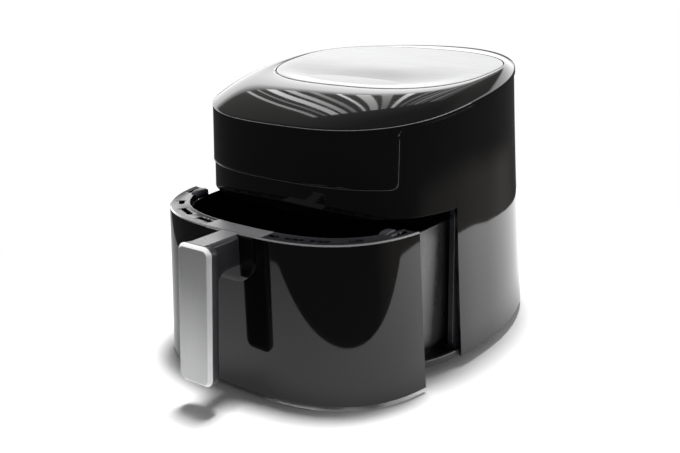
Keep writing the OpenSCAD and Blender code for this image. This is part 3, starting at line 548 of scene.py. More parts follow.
FINISHES = {
    "gloss_black": (gloss_plastic, (0.0045, 0.0043, 0.0042)),
    "hood_black": (gloss_plastic, (0.005, 0.005, 0.0052)),
    "cover_black": (gloss_plastic, grey(0.005)),
    "drawer_gloss": (gloss_plastic, (0.0035, 0.0035, 0.0037)),
    # pale grey line colour: a painted highlight on the cover's parting line
    "line_bright": (gloss_plastic, grey(0.3), 0.25),
    "relay_blue": (gloss_plastic, (0.015, 0.05, 0.24), 0.2),
    "capacitor_yellow": (gloss_plastic, (0.72, 0.46, 0.03), 0.25),
    "plate_silver": (brushed_metal, (0.17, 0.171, 0.174), 0.17, (0.05, 1, 1), 420, 0.006, None, 0.4, 0.97),
    "grip_silver": (brushed_metal, (0.72, 0.723, 0.73), 0.42, (1, 1, 0.03), 700, 0.02, None, 0.55, 0.95),
    # near-white bevel colour: a painted reflection on the handle plate's bevel
    "bevel_bright": (brushed_metal, grey(0.97), 0.3, (1, 1, 0.05), 500, 0.01, None, 0.05, 0.98),
    # pale metal colour: a painted highlight on the drawer's top edge
    "edge_bright": (brushed_metal, (0.6, 0.6, 0.61), 0.22, (1, 1, 1), 900, 0.01, None, 0.75, 0.95),
    # pale bead colour: a painted highlight on the pan's rolled edge
    "bead_bright": (brushed_metal, grey(0.55), 0.3, (1, 1, 1), 500),
    "steel": (brushed_metal, (0.56, 0.56, 0.57), 0.28, (1, 1, 1), 400),
    "zinc": (brushed_metal, (0.62, 0.62, 0.6), 0.3, (1, 1, 1), 500, 0.05, (0.52, 0.5, 0.42)),
    "runner_steel": (brushed_metal, grey(0.6), 0.3, (1, 0.03, 1), 900),
    "fan_metal": (brushed_metal, grey(0.72), 0.32, (1, 1, 1), 300),
    "bronze": (brushed_metal, (0.6, 0.4, 0.2), 0.35, (1, 1, 1), 900, 0.1),
    "contact_spring": (brushed_metal, (0.72, 0.55, 0.25), 0.22, (1, 0.05, 1), 1200),
    "satin_black": (satin_plastic, (0.026, 0.026, 0.031), (0.036, 0.036, 0.042), 0.34),
    # pale satin colour: a painted highlight on the jamb lips and the base lip's bead
    "jamb_satin": (satin_plastic, (0.17, 0.17, 0.18), (0.22, 0.22, 0.23), 0.3),
    "base_black": (satin_plastic, (0.016, 0.016, 0.017), (0.024, 0.024, 0.026), 0.5),
    # the rim's edges are lightened most: a painted highlight on the slot outlines
    "rim_grey": (satin_plastic, (0.012, 0.012, 0.014), (0.02, 0.02, 0.022), 0.25, 2600, 0.05, 0.5),
    # lighter grey on top faces of rim-grey pieces: painted light
    "arm_grey": (satin_plastic, (0.075, 0.075, 0.078), (0.095, 0.095, 0.098), 0.3, 2600, 0.05, 0.3),
    "fan_plastic": (satin_plastic, (0.62, 0.61, 0.57), (0.72, 0.71, 0.67), 0.45, 1800, 0.1, 0.1),
    "ceramic": (satin_plastic, (0.74, 0.7, 0.62), (0.82, 0.79, 0.72), 0.25, 1500, 0.05, 0.1),
    "display_white": (satin_plastic, (0.7, 0.7, 0.68), (0.8, 0.8, 0.78), 0.5, 2000, 0.05, 0.1),
    "carrier_plastic": (satin_plastic, (0.52, 0.5, 0.44), (0.62, 0.6, 0.54), 0.5, 1500, 0.1, 0.1),
    "tape_yellow": (satin_plastic, (0.62, 0.42, 0.04), (0.74, 0.54, 0.08), 0.3, 900, 0.1, 0.1),
    "terminal_white": (satin_plastic, (0.68, 0.67, 0.62), (0.76, 0.75, 0.7), 0.45, 1500, 0.1, 0.1),
    "switch_black": (satin_plastic, grey(0.03), grey(0.045), 0.4),
    "pin_black": (satin_plastic, grey(0.02), grey(0.03), 0.35, 2000, 0.05, 0.1),
    "pan_coating": (non_stick, (0.085, 0.085, 0.087), grey(0.16), 0.3, 0.9),
    "crisper_coating": (non_stick, (0.05, 0.05, 0.052), grey(0.11), 0.38, 0.4),
    "foot_rubber": (rubber, grey(0.018)),
    "bumper_silicone": (rubber, (0.035, 0.035, 0.036), 0.6),
    "aluminised": (spangled_metal, (0.6, 0.6, 0.58)),
    "duct_metal": (spangled_metal, (0.5, 0.5, 0.49), 0.42),
    "heater_sheath": (heater_sheath,),
    "laminations": (layered, (0.34, 0.35, 0.37), 1400, 2, 0.5, (0.02, 0.02, 1), 0.45, (0.35, 0.6), 0.5, 0.0003,
                    0.8),
    "copper_coil": (layered, (0.66, 0.3, 0.13), 1600, 1, 0.4, (0.02, 1, 0.02), 0.4, (0.25, 0.45), 0.6, 0.0004,
                    0.7),
    "board_green": (board_finish, (0.012, 0.1, 0.045), (0.03, 0.22, 0.09)),
}
MAT = {name: build(name, *values) for name, (build, *values) in FINISHES.items()}

for part in frame["record"]["subparts"]:
    for held in frame["nodes"][part["node"]].material_slots:
        held.material = MAT[part["material_slot"]]

# ---------------- casing


def rear_shell():
    """Side and back wall, with seven vents, the grille's window and the cord's hole."""
    high = RIM_FRONT + 20

    def column_angle(c, z):
        start = -seam_angle(z, SHELL_STEP, SEAM_Y + GAP)
        return start + (pi - 2 * start) * c / COLUMNS

    tops = [below_band(edge(column_angle(c, high), high).y) for c in range(COLUMNS + 1)]
    rows = []
    for f in fractions(22):
        heights = [FOOT_H + (top - FOOT_H) * f for top in tops]
        rows.append([edge(column_angle(c, z), z, SHELL_STEP) for c, z in enumerate(heights)])
    obj = new_object("rear_shell_skin", sheet(rows), "casing", "rear_shell", "gloss_black")
    thicken(obj, 2.6)
    settle(obj)
    cutters = bmesh.new()
    for k in range(7):
        prism(cutters, slot_outline(24, 3.6, Vector((-36 + 12 * k, 150, 214)), Z, -X), Y * 90)
    prism(cutters, [Vector((x, 100, z + 178)) for x, z in rounded_rect(100, 40, 4)], Y * 150)
    cord_hole = 6.7
    cord = [Vector((cord_hole * cos(a), 190, 38 + cord_hole * sin(a))) for a in circle(32)]
    prism(cutters, cord, Y * 60)
    cut(obj, cutters)
    bevel(obj, 0.5)
    follow_outline(obj)


def front_hood():
    """Wall above the drawer, set back behind the panel apron."""
    step, above, depth = 1.6, 2, 2.6

    def recessed(q, z, share):
        beside = APRON_W + 3 - abs(front_point(q, z, SHELL_STEP).x)
        return front_point(q, z, SHELL_STEP + depth * share * smooth(beside / 12))

    low, high = APRON_Z - step, APRON_Z + above
    rows = [[recessed(q, OPENING_TOP + (low - OPENING_TOP) * f, 0) for q in FRONT_COLUMNS]
            for f in (0, 0.25, 0.5, 0.75, 1)]
    rows += [[recessed(q, low + (high - low) * k / 8, (k / 8) ** 2) for q in FRONT_COLUMNS] for k in range(1, 9)]
    tops = [below_band(front_point(q, RIM_FRONT, SHELL_STEP).y) for q in FRONT_COLUMNS]
    rows += [[recessed(q, high + (top - high) * f, 1) for q, top in zip(FRONT_COLUMNS, tops)]
             for f in (0.25, 0.5, 0.75, 0.97, 1)]
    obj = new_object("front_hood_skin", sheet(rows), "casing", "front_hood", "hood_black")
    thicken(obj, 2.2)
    bevel(obj, 0.25)
    follow_outline(obj)


def top_cover():
    """Dome, upright band and panel apron in one moulding."""
    fillet, rounding, inner, back, dome_rows, apron_rows, wall = 4.0, 1.4, 56, 150, 26, 14, 2.2
    flank = [APRON_W + fillet * f for f in (1.0, 0.7, 0.42, 0.2, 0.06)]
    apron = [APRON_W * f for f in spaced(inner)]
    xs = [-x for x in flank] + apron + flank[::-1]
    columns = range(len(xs) + back - 1)

    def column_angle(c, z):
        if c < len(xs):
            return angle_at_x(xs[c], z, -COVER_OUT)
        start = angle_at_x(flank[0], z, -COVER_OUT)
        return start + (pi - 2 * start) * (c - len(xs) + 1) / back

    def band_low(c):
        """Depth of the band's lower edge below the rim, with the fillet beside the apron."""
        off = min(fillet, abs(xs[c]) - APRON_W) if c < len(xs) else fillet
        return RIM_BAND + fillet - (sqrt(fillet ** 2 - (fillet - off) ** 2) if off > 0 else 0)

    angles = [column_angle(c, rim_height(column_angle(c, RIM_FRONT))) for c in columns]
    tops = [rim_point(t) for t in angles]
    reach = [(plate_point(t, 0.5) - top).length for t, top in zip(angles, tops)]
    starts = [rounding * 1.1 / r for r in reach]
    rows = []
    for f in (0.0, 0.5, 1.0):
        heights = [tops[c].z - band_low(c) + (band_low(c) - rounding) * f for c in columns]
        rows.append([edge(column_angle(c, z), z, -COVER_OUT) for c, z in enumerate(heights)])
    ends = [dome_point(t, s) for t, s in zip(angles, starts)]
    for f in (0.25, 0.5, 0.75, 1.0):
        rows.append([a * (1 - f) ** 2 + b * 2 * f * (1 - f) + c * f * f for a, b, c in zip(rows[2], tops, ends)])
    for k in range(1, dome_rows + 1):
        f = (k / dome_rows) ** 1.15
        rows.append([dome_point(t, s + (1 - 0.9 / r - s) * f) for t, s, r in zip(angles, starts, reach)])
    rows += [[plate_point(t, grow, drop) for t in angles]
             for grow, drop in ((1.15, 0.1), (0.95, 0.5), (0.95, 2.6), (-6, 2.6))]
    bm = bmesh.new()
    upper = loft(bm, rows)[0][len(flank):len(flank) + inner + 1]

    # the apron hangs from the band's lower edge between its two side edges
    for r in range(1, apron_rows + 1):
        row = []
        for x, hung in zip(apron, rows[0][len(flank):]):
            near = max(0.0, abs(x) - (APRON_W - APRON_R))
            low = APRON_Z + APRON_R - sqrt(APRON_R ** 2 - near ** 2)
            row.append(bm.verts.new(edge_at_x(x, hung.z + (low - hung.z) * r / apron_rows, -COVER_OUT)))
        for k in range(inner):
            bm.faces.new((row[k], row[k + 1], upper[k + 1], upper[k]))
        upper = row

    # the lower edges turn in, as the moulding's thickness
    bm.normal_update()
    lower = [e for e in bm.edges if e.is_boundary and max(v.co.z for v in e.verts) < PLATE_Z - 22]
    inwards = {tuple(round(c, 4) for c in v.co): v.normal.copy() for e in lower for v in e.verts}
    for v in bmesh.ops.extrude_edge_only(bm, edges=lower)["geom"]:
        if isinstance(v, bmesh.types.BMVert):
            v.co -= inwards[tuple(round(c, 4) for c in v.co)] * wall
    outward(bm)
    obj = new_object("top_cover_skin", bm, "casing", "top_cover", "cover_black")
    bevel(obj, 0.35, 2, 50, 50)


def painted_edge_highlight():
    """Painted highlight: a pale grey tube along the rim in front and round the apron, in place of the light on the
    parting line.
    """
    bm = bmesh.new()
    tube(bm, [rim_point(-pi * (0.03 + 0.94 * f), 0.5) for f in fractions(90)], 0.22)
    side_top, reach = RIM_FRONT - 6, APRON_W - APRON_R
    side = [(-APRON_W, side_top - (side_top - APRON_Z - APRON_R) * f) for f in fractions(12)]
    for k in range(1, 6):
        a = pi / 2 * k / 6
        side.append((-reach - APRON_R * cos(a), APRON_Z + APRON_R - APRON_R * sin(a)))
    bottom = [(reach * f, APRON_Z) for f in spaced(56)]
    border = side + bottom + [(-x, z) for x, z in reversed(side)]
    tube(bm, [edge_at_x(x, z, -COVER_OUT) for x, z in border], 0.2)
    new_object("painted_edge_highlight", bm, "casing", None, "cover_black", "line_bright")


def top_plate():
    """Silver plate, slightly dished, with a rolled edge."""
    around, inner = circle(160), 18
    dish, sag, edge_r, middle_y = 2.3, 0.35, 0.45, PLATE_Y + 10
    rows = [[plate_point(t, 0, 2.0) for t in around]]
    for a in (pi / 2 * f for f in fractions(4)):
        rows.append([plate_point(t, -edge_r * (1 - cos(a)), edge_r * (1 - sin(a))) for t in around])
    for k in range(1, inner):
        f = (k / inner) ** 1.3
        trough = dish * smooth(f / 0.2) * smooth((0.75 - f) / 0.55)
        row = []
        for t in around:
            p = plate_point(t, -edge_r).lerp(Vector((0, middle_y, 0)), f)
            depth = sag * (1 - (1 - f) ** 2.2) + trough * max(0.0, -sin(t)) ** 1.5
            row.append(Vector((p.x, p.y, PLATE_Z + (p.y - PLATE_Y) * tan(PLATE_TILT) - depth)))
        rows.append(row)
    bm = bmesh.new()
    grid = loft(bm, rows)
    bm.faces.new(grid[0][::-1])
    middle = bm.verts.new((0, middle_y, PLATE_Z + 10 * tan(PLATE_TILT) - sag))
    for a, b in zip(grid[-1], grid[-1][1:] + grid[-1][:1]):
        bm.faces.new((a, b, middle))
    new_object("top_plate_skin", bm, "casing", "top_plate", "plate_silver", sharp=60)


def base():
    """Underside pan with its upright lip and seven slots, and a pale bead on the lip's front edge, a painted
    highlight.
    """
    lip, lip_top = 4.2, 17.5
    profile = ((1.2, 10.0), (0.3, 10.3), (0, 11.2), (0, 17.1), (0.4, lip_top), (2.6, lip_top), (3.0, 17.1),
               (3.0, 12.6))
    bm = bmesh.new()
    closed_loft(bm, [[edge(t, z, lip + i) for t in circle(120)] for i, z in profile])
    obj = new_object("base_pan", bm, "casing", "base_plate", "base_black")
    cutters = bmesh.new()
    for k in range(7):
        prism(cutters, slot_outline(70, 3.8, Vector((0, 20 + 14 * k, 5)), X, Y), Z * 10)
    cut(obj, cutters)

    # the bead is a painted highlight on the lip's front edge
    bead_z, bead_in = 17.0, 4.0
    span = pi / 2 - seam_angle(bead_z, bead_in) - 0.03
    bm = bmesh.new()
    tube(bm, [edge(-pi / 2 + span * f, bead_z, bead_in) for f in spaced(60)], 0.5)
    new_object("base_lip_bead", bm, "casing", None, "base_black", "jamb_satin")


def jambs():
    """Thin upright lips on the opening frame, in a pale satin: a painted highlight beside the pan."""
    low, high = 22, 155
    for side, name in ((-1, "jamb_lip_left"), (1, "jamb_lip_right")):
        bm = bmesh.new()
        for x, y, r in ((131.3, SEAM_Y + 1.6, 0.45), (136.2, SEAM_Y + 1.0, 0.35)):
            tube(bm, [Vector((side * x, y, low + (high - low) * f)) for f in fractions(6)], r)
        new_object(name, bm, "casing", None, "satin_black", "jamb_satin")


def feet():
    profile = ((8.6, 0.0), (9.4, 0.25), (9.7, 0.9), (10.1, 1.6), (10.6, 2.4), (11, 3.2), (11, 9.4), (10.6, 9.95),
               (2.9, 10.0), (2.9, 13.0), (2.6, 13.2))
    for name in ("foot_front_left", "foot_front_right", "foot_rear_left", "foot_rear_right"):
        low, high = (v / MM - CASING_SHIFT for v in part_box(name))
        bm = bmesh.new()
        turned(bm, profile, (low.x + high.x) / 2, (low.y + high.y) / 2)
        new_object(name + "_pad", bm, "casing", name, "foot_rubber")


def exhaust_grille():
    """Curved grille with ten slots, let into the back."""
    low, high, half, inset = 158.3, 197.7, 49.7, 1.0
    rows = []
    for z in (low + (high - low) * f for f in fractions(8)):
        xs = (-half * f for f in spaced(40))
        rows.append([edge(acos(spow(x / (half_w(z) - inset), BACK_POWER / 2)), z, inset) for x in xs])
    obj = new_object("exhaust_grille_panel", sheet(rows), "casing", "exhaust_grille", "satin_black")
    thicken(obj, 2.0)
    settle(obj)
    cutters = bmesh.new()
    for z in (164, 171, 178, 185, 192):
        for x in (-24, 24):
            prism(cutters, slot_outline(40, 3.2, Vector((x, 120, z)), -X, Z), Y * 120)
    cut(obj, cutters)
    bevel(obj, 0.3)

# ---------------- drawer

RIM_INSET = 1.9          # the rim starts this far behind the drawer front's face
RIM_SIDE, RIM_AHEAD, RIM_LOW = 15.5, 21.0, 147.0


def close_ends(bm, grid):
    """Closes both ends of a section that was carried along."""
    bm.faces.new([row[0] for row in grid])
    bm.faces.new([row[-1] for row in reversed(grid)])
    outward(bm)


def swept(bm, profile, seam=SEAM_Y - GAP):
    """A closed section of (ix, iy, z) points carried round the front, with closed ends."""
    rows = [[front_point(q, z, ix, iy, seam) for q in FRONT_COLUMNS] for ix, iy, z in profile]
    close_ends(bm, loft(bm, rows, closed=False, wrap=True))


def drawer_front():
    """Gloss front, and the chamfered strip along its top edge in a pale metal finish, a painted highlight on the
    grey rim moulding.
    """
    low, top = DRAWER_LOW, DRAWER_TOP
    s, w = SHELL_STEP, SHELL_STEP + 2.6
    profile = [(s + 1.4, low), (s + 0.55, low + 0.15), (s + 0.1, low + 0.6), (s, low + 1.4)]
    profile += [(s, low + (top - 1.6 - low) * k / 10) for k in range(1, 10)]
    profile += [(s, top - 1.5), (s + 0.3, top - 1.5), (s + 0.3, top - 3.4), (w, top - 3.4), (w, low + 0.2),
                (w - 0.2, low)]
    bm = bmesh.new()
    swept(bm, [(i, i, z) for i, z in profile])
    new_object("drawer_front_skin", bm, "drawer", "drawer_front", "drawer_gloss")

    back = RIM_INSET - 0.06
    profile = ((s + 0.32, 3.2), (s + 0.32, 1.45), (s + 0.02, 1.4), (s + 0.02, 1.15), (back - 0.25, 0.02),
               (back, 0.05), (back, 3.2))
    bm = bmesh.new()
    swept(bm, [(i, i, top - down) for i, down in profile])
    new_object("drawer_edge_strip", bm, "drawer", None, "rim_grey", "edge_bright")


def drawer_rim():
    """Slotted ring on the drawer's top edge: a shallow trough between two lips."""
    top, o, s, a = DRAWER_TOP, RIM_INSET, RIM_SIDE, RIM_AHEAD
    profile = ((o, o, RIM_LOW), (o, o, top - 0.25), (o + 0.25, o + 0.25, top), (o + 1.1, o + 1.1, top),
               (o + 1.5, o + 1.5, top - 0.45), (s - 2.2, a - 2.6, top - 0.45), (s - 1.8, a - 2.2, top),
               (s - 0.3, a - 0.3, top), (s, a, top - 0.3), (s, a, RIM_LOW))
    bm = bmesh.new()
    swept(bm, profile, SEAM_Y - 1.6)
    obj = new_object("drawer_rim_ring", bm, "drawer", "drawer_rim", "rim_grey")
    slots = []
    for x, length in ((-45, 22), (-79, 24), (-106, 13), (40, 11), (60.5, 18), (82.5, 18), (107, 13)):
        p, q, r = (edge(angle_at_x(x, top, 10) + d, top, 10, 12) for d in (0, -0.02, 0.02))
        slots.append((length, p, (r - q).normalized()))
    for side in (-1, 1):
        slots.append((19, Vector((side * 127.2, SEAM_Y - 14, 0)), Vector((side * 0.16, 1, 0)).normalized()))
    cutters = bmesh.new()
    for length, centre, along in slots:
        centre.z = RIM_LOW - 2
        prism(cutters, slot_outline(length, 5.6, centre, along, Z.cross(along), 4), Z * 12)
    cut(obj, cutters, "drawer")
    bevel(obj, 0.3, 2, 50)


def rim_pad():
    """Plain pad in the middle of the rim, which the handle's arm runs into, in a lighter grey: painted light on
    its top.
    """
    half = 34
    rows = []
    for inset, down in ((RIM_INSET + 0.2, 0.3), (RIM_INSET + 0.35, -0.04), (RIM_AHEAD - 0.6, -0.04),
                        (RIM_AHEAD - 0.45, 0.3)):
        rows.append([edge_at_x(half * f, DRAWER_TOP, inset) - Z * down for f in spaced(24)])
    bm = bmesh.new()
    close_ends(bm, loft(bm, rows, closed=False, wrap=True))
    new_object("drawer_rim_pad", bm, "drawer", None, "rim_grey", "arm_grey")


def rim_lugs():
    """Dark lugs at the ring's ends, which locate the drawer under the hood."""
    y0, y1 = SEAM_Y - 26, SEAM_Y - 8
    near, far, base_z = 112.2, 120, DRAWER_TOP - 5
    for side, name, high in ((-1, "rim_lug_left", 3.2), (1, "rim_lug_right", 1.4)):
        crest = DRAWER_TOP + high
        section = ((y0, base_z), (y0, crest - 5), (y0 + 1, crest - 2.5), (y0 + 4, crest - 0.5), (y0 + 7, crest),
                   (y1 - 4, crest), (y1 - 1.2, crest - 0.6), (y1 - 0.2, crest - 2), (y1, crest - 4), (y1, base_z))
        bm = bmesh.new()
        prism(bm, [Vector((side * near, y, z)) for y, z in section], X * side * (far - near))
        outward(bm)
        lug = new_object(name, bm, "drawer", None, "satin_black")
        bevel(lug, 0.7, 3, 30)

PAN_W, PAN_BACK, PAN_LOW, PAN_TOP, PAN_T = 128.0, 118.0, 18.7, 146.0, 1.2
PAN_CORNER, PAN_FRONT_IN, PAN_DRAFT, PAN_BEND = 66.0, 20.5, 1.5, 9.0


def pan_outline(z, inset):
    """Outline of the pan at height z: the drawer's curve in front, round corners behind."""
    w, b, r = PAN_W - inset, front_r(z) - PAN_FRONT_IN - inset, PAN_CORNER - inset
    cx, cy = PAN_W - PAN_CORNER, PAN_BACK - PAN_CORNER
    points = []
    for q in spaced(72):
        t = -pi / 2 + spow(q, 1.3) * pi / 2
        points.append((w * spow(cos(t), 2 / FRONT_POWER), b * spow(sin(t), 2 / FRONT_POWER)))
    straight = [(w, cy * f) for f in (0.25, 0.5, 0.75)]
    points += straight + arc(cx, cy, r, 0, 90, 18) + [(cx * f, cy + r) for f in (0.5, 0, -0.5)]
    points += arc(-cx, cy, r, 90, 180, 18) + [(-x, y) for x, y in reversed(straight)]
    return [Vector((x, y, z)) for x, y in points]


def pan_wall(t):
    """Section of the pan's wall, t inside its outer face, from the floor up to the bead."""
    bend, above = PAN_BEND - t, PAN_LOW + PAN_BEND
    turns = [pi / 2 * f for f in fractions(6)]
    section = [(PAN_DRAFT + t + bend * (1 - sin(a)), PAN_LOW + t + bend * (1 - cos(a))) for a in turns]
    return section + [(PAN_DRAFT * (1 - k / 8) + t, above + (PAN_TOP - 1.4 - above) * k / 8) for k in range(1, 9)]


def drawer_pan():
    """Pressed pan with a rolled top edge, and a pale bead on it, a painted highlight along the edge."""
    bm = bmesh.new()
    section = ((0.2, -0.02), (0.45, 0.18), (0.9, 0.18), (1.1, -0.02))
    loft(bm, [pan_outline(PAN_TOP + up, i) for i, up in section], wrap=True)
    outward(bm)
    new_object("drawer_pan_bead", bm, "drawer", None, "pan_coating", "bead_bright")
    rolled = [(i, PAN_TOP - down) for i, down in ((-0.25, 1.0), (-0.25, 0.4), (0.2, 0), (1.1, 0), (1.5, 0.4))]
    bm = bmesh.new()
    closed_loft(bm, [pan_outline(z, i) for i, z in pan_wall(0) + rolled + pan_wall(PAN_T)[::-1]])
    new_object("drawer_pan_shell", bm, "drawer", "drawer_pan", "pan_coating", sharp=50)


def crisper():
    """Coated plate with a pressed edge and holes."""
    z0, t, soft, pitch, hole_r = 27.0, 1.4, 0.3, 17, 3.6
    side = PAN_DRAFT + PAN_T + 3.6
    bm = bmesh.new()
    rows = []
    for inset, z in ((side + soft, z0), (side, z0 + soft), (side, z0 + t - soft), (side + soft, z0 + t)):
        rows.append([p + Z * (z - z0) for p in pan_outline(z0, inset)])
    closed_loft(bm, rows)
    obj = new_object("crisper_sheet", bm, "crisper", "crisper_plate", "crisper_coating")
    cutters = bmesh.new()
    for x in range(-102, 103, pitch):
        for y in range(-94, 94, pitch):
            if (abs(x) / 112) ** 3 + (abs(y) / 108) ** 3 < 1:
                prism(cutters, [Vector((x + hole_r * cos(a), y + hole_r * sin(a), z0 - 2))
                                for a in circle(16)], Z * 6)
    cut(obj, cutters, "crisper")

# ---------------- handle

GRIP_W, GRIP_H, GRIP_Y, GRIP_LEAN = 39.6, 127.0, -188.0, radians(4.3)
GRIP_BEVEL, ARM_W, ARM_H, FLANGE_T = 3.0, 27.0, 28.0, 2.0
FLANGE_W, FLANGE_LOW, FLANGE_R = 28.5, 110.0, 21.0
ARM_TOP = DRAWER_TOP - 0.6
GRIP_START = GRIP_BEVEL + 1.12


def grip_place(x, y, z):
    """From the grip's own frame (origin at the plate's top edge, Y into the handle) to the drawer's."""
    c, s = cos(GRIP_LEAN), sin(GRIP_LEAN)
    return Vector((x, GRIP_Y + y * c + z * s, DRAWER_TOP - y * s + z * c))


def grip_ring(y, less, r):
    points = rounded_rect(GRIP_W - 2 * less, GRIP_H - 2 * less, r, 8)
    return [grip_place(-u, y, v - GRIP_H / 2) for u, v in points]


def handle_plate():
    """Silver plate; its bevel all round is near-white, a painted highlight."""
    b = GRIP_BEVEL
    rings = ((0.0, b + 0.25, 4.9), (0.06, b, 5.1), (0.3, b - 0.28, 5.3), (b - 0.3, 0.25, 7.8), (b, 0.02, 8.0),
             (b + 0.3, 0.0, 8.0), (b + 1.0, 0.0, 8.0))
    bm = bmesh.new()
    grid = loft(bm, [grip_ring(*ring) for ring in rings])
    caps(bm, grid)
    slope = {v for ring in grid[2:5] for v in ring}
    for face in bm.faces:
        face.material_index = int(all(v in slope for v in face.verts))
    plate = new_object("handle_face_plate", bm, "drawer", "handle_plate", "grip_silver", sharp=26)
    plate.data.materials.append(MAT["bevel_bright"])


def handle_grip():
    """Dark grip behind the plate."""
    rings = [(GRIP_START, 1.0, 7.2), (GRIP_START + 0.5, 0.45, 7.6)]
    for a in (pi / 2 * f for f in fractions(8)):
        rise = 1 - cos(a)
        rings.append((GRIP_START + 5.5 + 6.0 * sin(a), 0.4 + 7.0 * rise, 8.0 - 1.5 * rise))
    bm = bmesh.new()
    closed_loft(bm, [grip_ring(*ring) for ring in rings])
    new_object("handle_grip_body", bm, "drawer", "handle_grip", "satin_black", sharp=40)


def handle_arm():
    """Arm with a fillet where it meets the grip, and a strip let into its top in a lighter grey: painted light on
    the top face.
    """
    end = -front_r(DRAWER_TOP - ARM_H) - FLANGE_T + SHELL_STEP - 0.6
    begin = GRIP_Y + GRIP_BEVEL + 5.0
    fillet, drop = 16.0, ARM_TOP - ARM_H
    back = grip_place(0, GRIP_START + 11.5, drop - DRAWER_TOP).y
    rows = []
    for y in (begin + (end - begin) * f for f in fractions(22)):
        off = min(fillet, max(0.0, y - back))
        low = drop - (fillet - sqrt(fillet ** 2 - (fillet - off) ** 2))
        section = rounded_rect(ARM_W, ARM_TOP - low, 3.6, 5)
        rows.append([Vector((-x, y, z + (ARM_TOP + low) / 2)) for x, z in section])
    bm = bmesh.new()
    closed_loft(bm, rows)
    new_object("handle_arm", bm, "drawer", None, "satin_black", sharp=40)

    half, soft, lift = 9.9, 0.3, DRAWER_TOP - 0.15
    y0, y1 = GRIP_Y + GRIP_BEVEL + 1.6, -front_r(DRAWER_TOP) + RIM_INSET
    section = ((-half, -1.2), (-half, -0.25), (soft - half, 0), (half - soft, 0), (half, -0.25), (half, -1.2))
    bm = bmesh.new()
    prism(bm, [Vector((x, y0, lift + up)) for x, up in section], Y * (y1 - y0))
    outward(bm)
    new_object("handle_arm_strip", bm, "drawer", None, "rim_grey", "arm_grey")


def handle_flange():
    """Curved plate between the arm and the drawer front, with large lower corners."""
    top, half, inset = DRAWER_TOP - 0.5, FLANGE_W - 0.02, SHELL_STEP - 0.1 - FLANGE_T
    xs = [half * sin(pi / 2 * f) for f in spaced(36)]

    def low_at(x):
        off = max(0.0, abs(x) - (FLANGE_W - FLANGE_R))
        return FLANGE_LOW + FLANGE_R - sqrt(max(0.0, FLANGE_R ** 2 - off ** 2))

    rows = [[edge_at_x(x, low_at(x) + (top - low_at(x)) * f, inset) for x in xs] for f in fractions(8)]
    obj = new_object("handle_flange_plate", sheet(rows), "drawer", "handle_flange", "drawer_gloss")
    thicken(obj, 1.9)
    bevel(obj, 0.7, 3, 40)

# ---------------- fans, and all pieces made


def impeller(name, node, slot, hub, blades, steps, inner, length, sweep, bend, half, foot, tip, rise, narrow):
    """Disc with a hub and curved blades."""
    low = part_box(node)[0].z / MM
    bm = bmesh.new()
    turned(bm, [(r, low + z) for r, z in hub], 0, AXIS_Y, 72, True)
    for start in circle(blades):
        rows = []
        for f in fractions(steps):
            r, a = inner + length * f, start + sweep * f ** bend
            side = Vector((-sin(a), cos(a), 0)) * half
            p = Vector((r * cos(a), AXIS_Y + r * sin(a), low))
            under, over = p + Z * foot, p + Z * (tip - rise * (1 - f))
            rows.append([under - side, under + side, over + side * narrow, over - side * narrow])
        closed_loft(bm, rows)
    outward(bm)
    new_object(name, bm, "air_mover", node, slot)


for build in (rear_shell, front_hood, top_cover, painted_edge_highlight, top_plate, base, jambs, feet, exhaust_grille,
              drawer_front, drawer_rim, rim_pad, rim_lugs, drawer_pan, crisper, handle_plate, handle_grip,
              handle_arm, handle_flange):
    build()

impeller("hot_air_impeller", "hot_air_fan", "fan_metal",
         ((3.05, 0), (57.6, 0), (58, 0.4), (58, 0.8), (57.6, 1.1), (8.4, 1.1), (8.0, 1.6), (8.0, 9.6), (7.6, 10),
          (3.05, 10)), 8, 10, 20, 37.5, 0.55, 1.4, 0.5, 0.9, 12.5, 2.5, 1.0)
impeller("cooling_impeller", "cooling_fan", "fan_plastic",
         ((3.05, 0), (39.6, 0), (40, 0.4), (40, 0.8), (39.6, 1.2), (8, 1.2), (7, 2.0), (7, 10.4), (6.5, 11),
          (3.05, 11)), 7, 8, 6.5, 33, 0.25, 1.5, 0.6, 1.0, 10.4, 0, 0.7)

# ---------------- floor, light


def axis_of(tree, coordinates, axis):
    place = make(tree, "TexCoord", coordinates, {})
    return make(tree, "SeparateXYZ", axis, {"Vector": place})


def choose(tree, fac, a, b):
    return make(tree, "MixShader", 0, {0: fac, 1: a, 2: b})


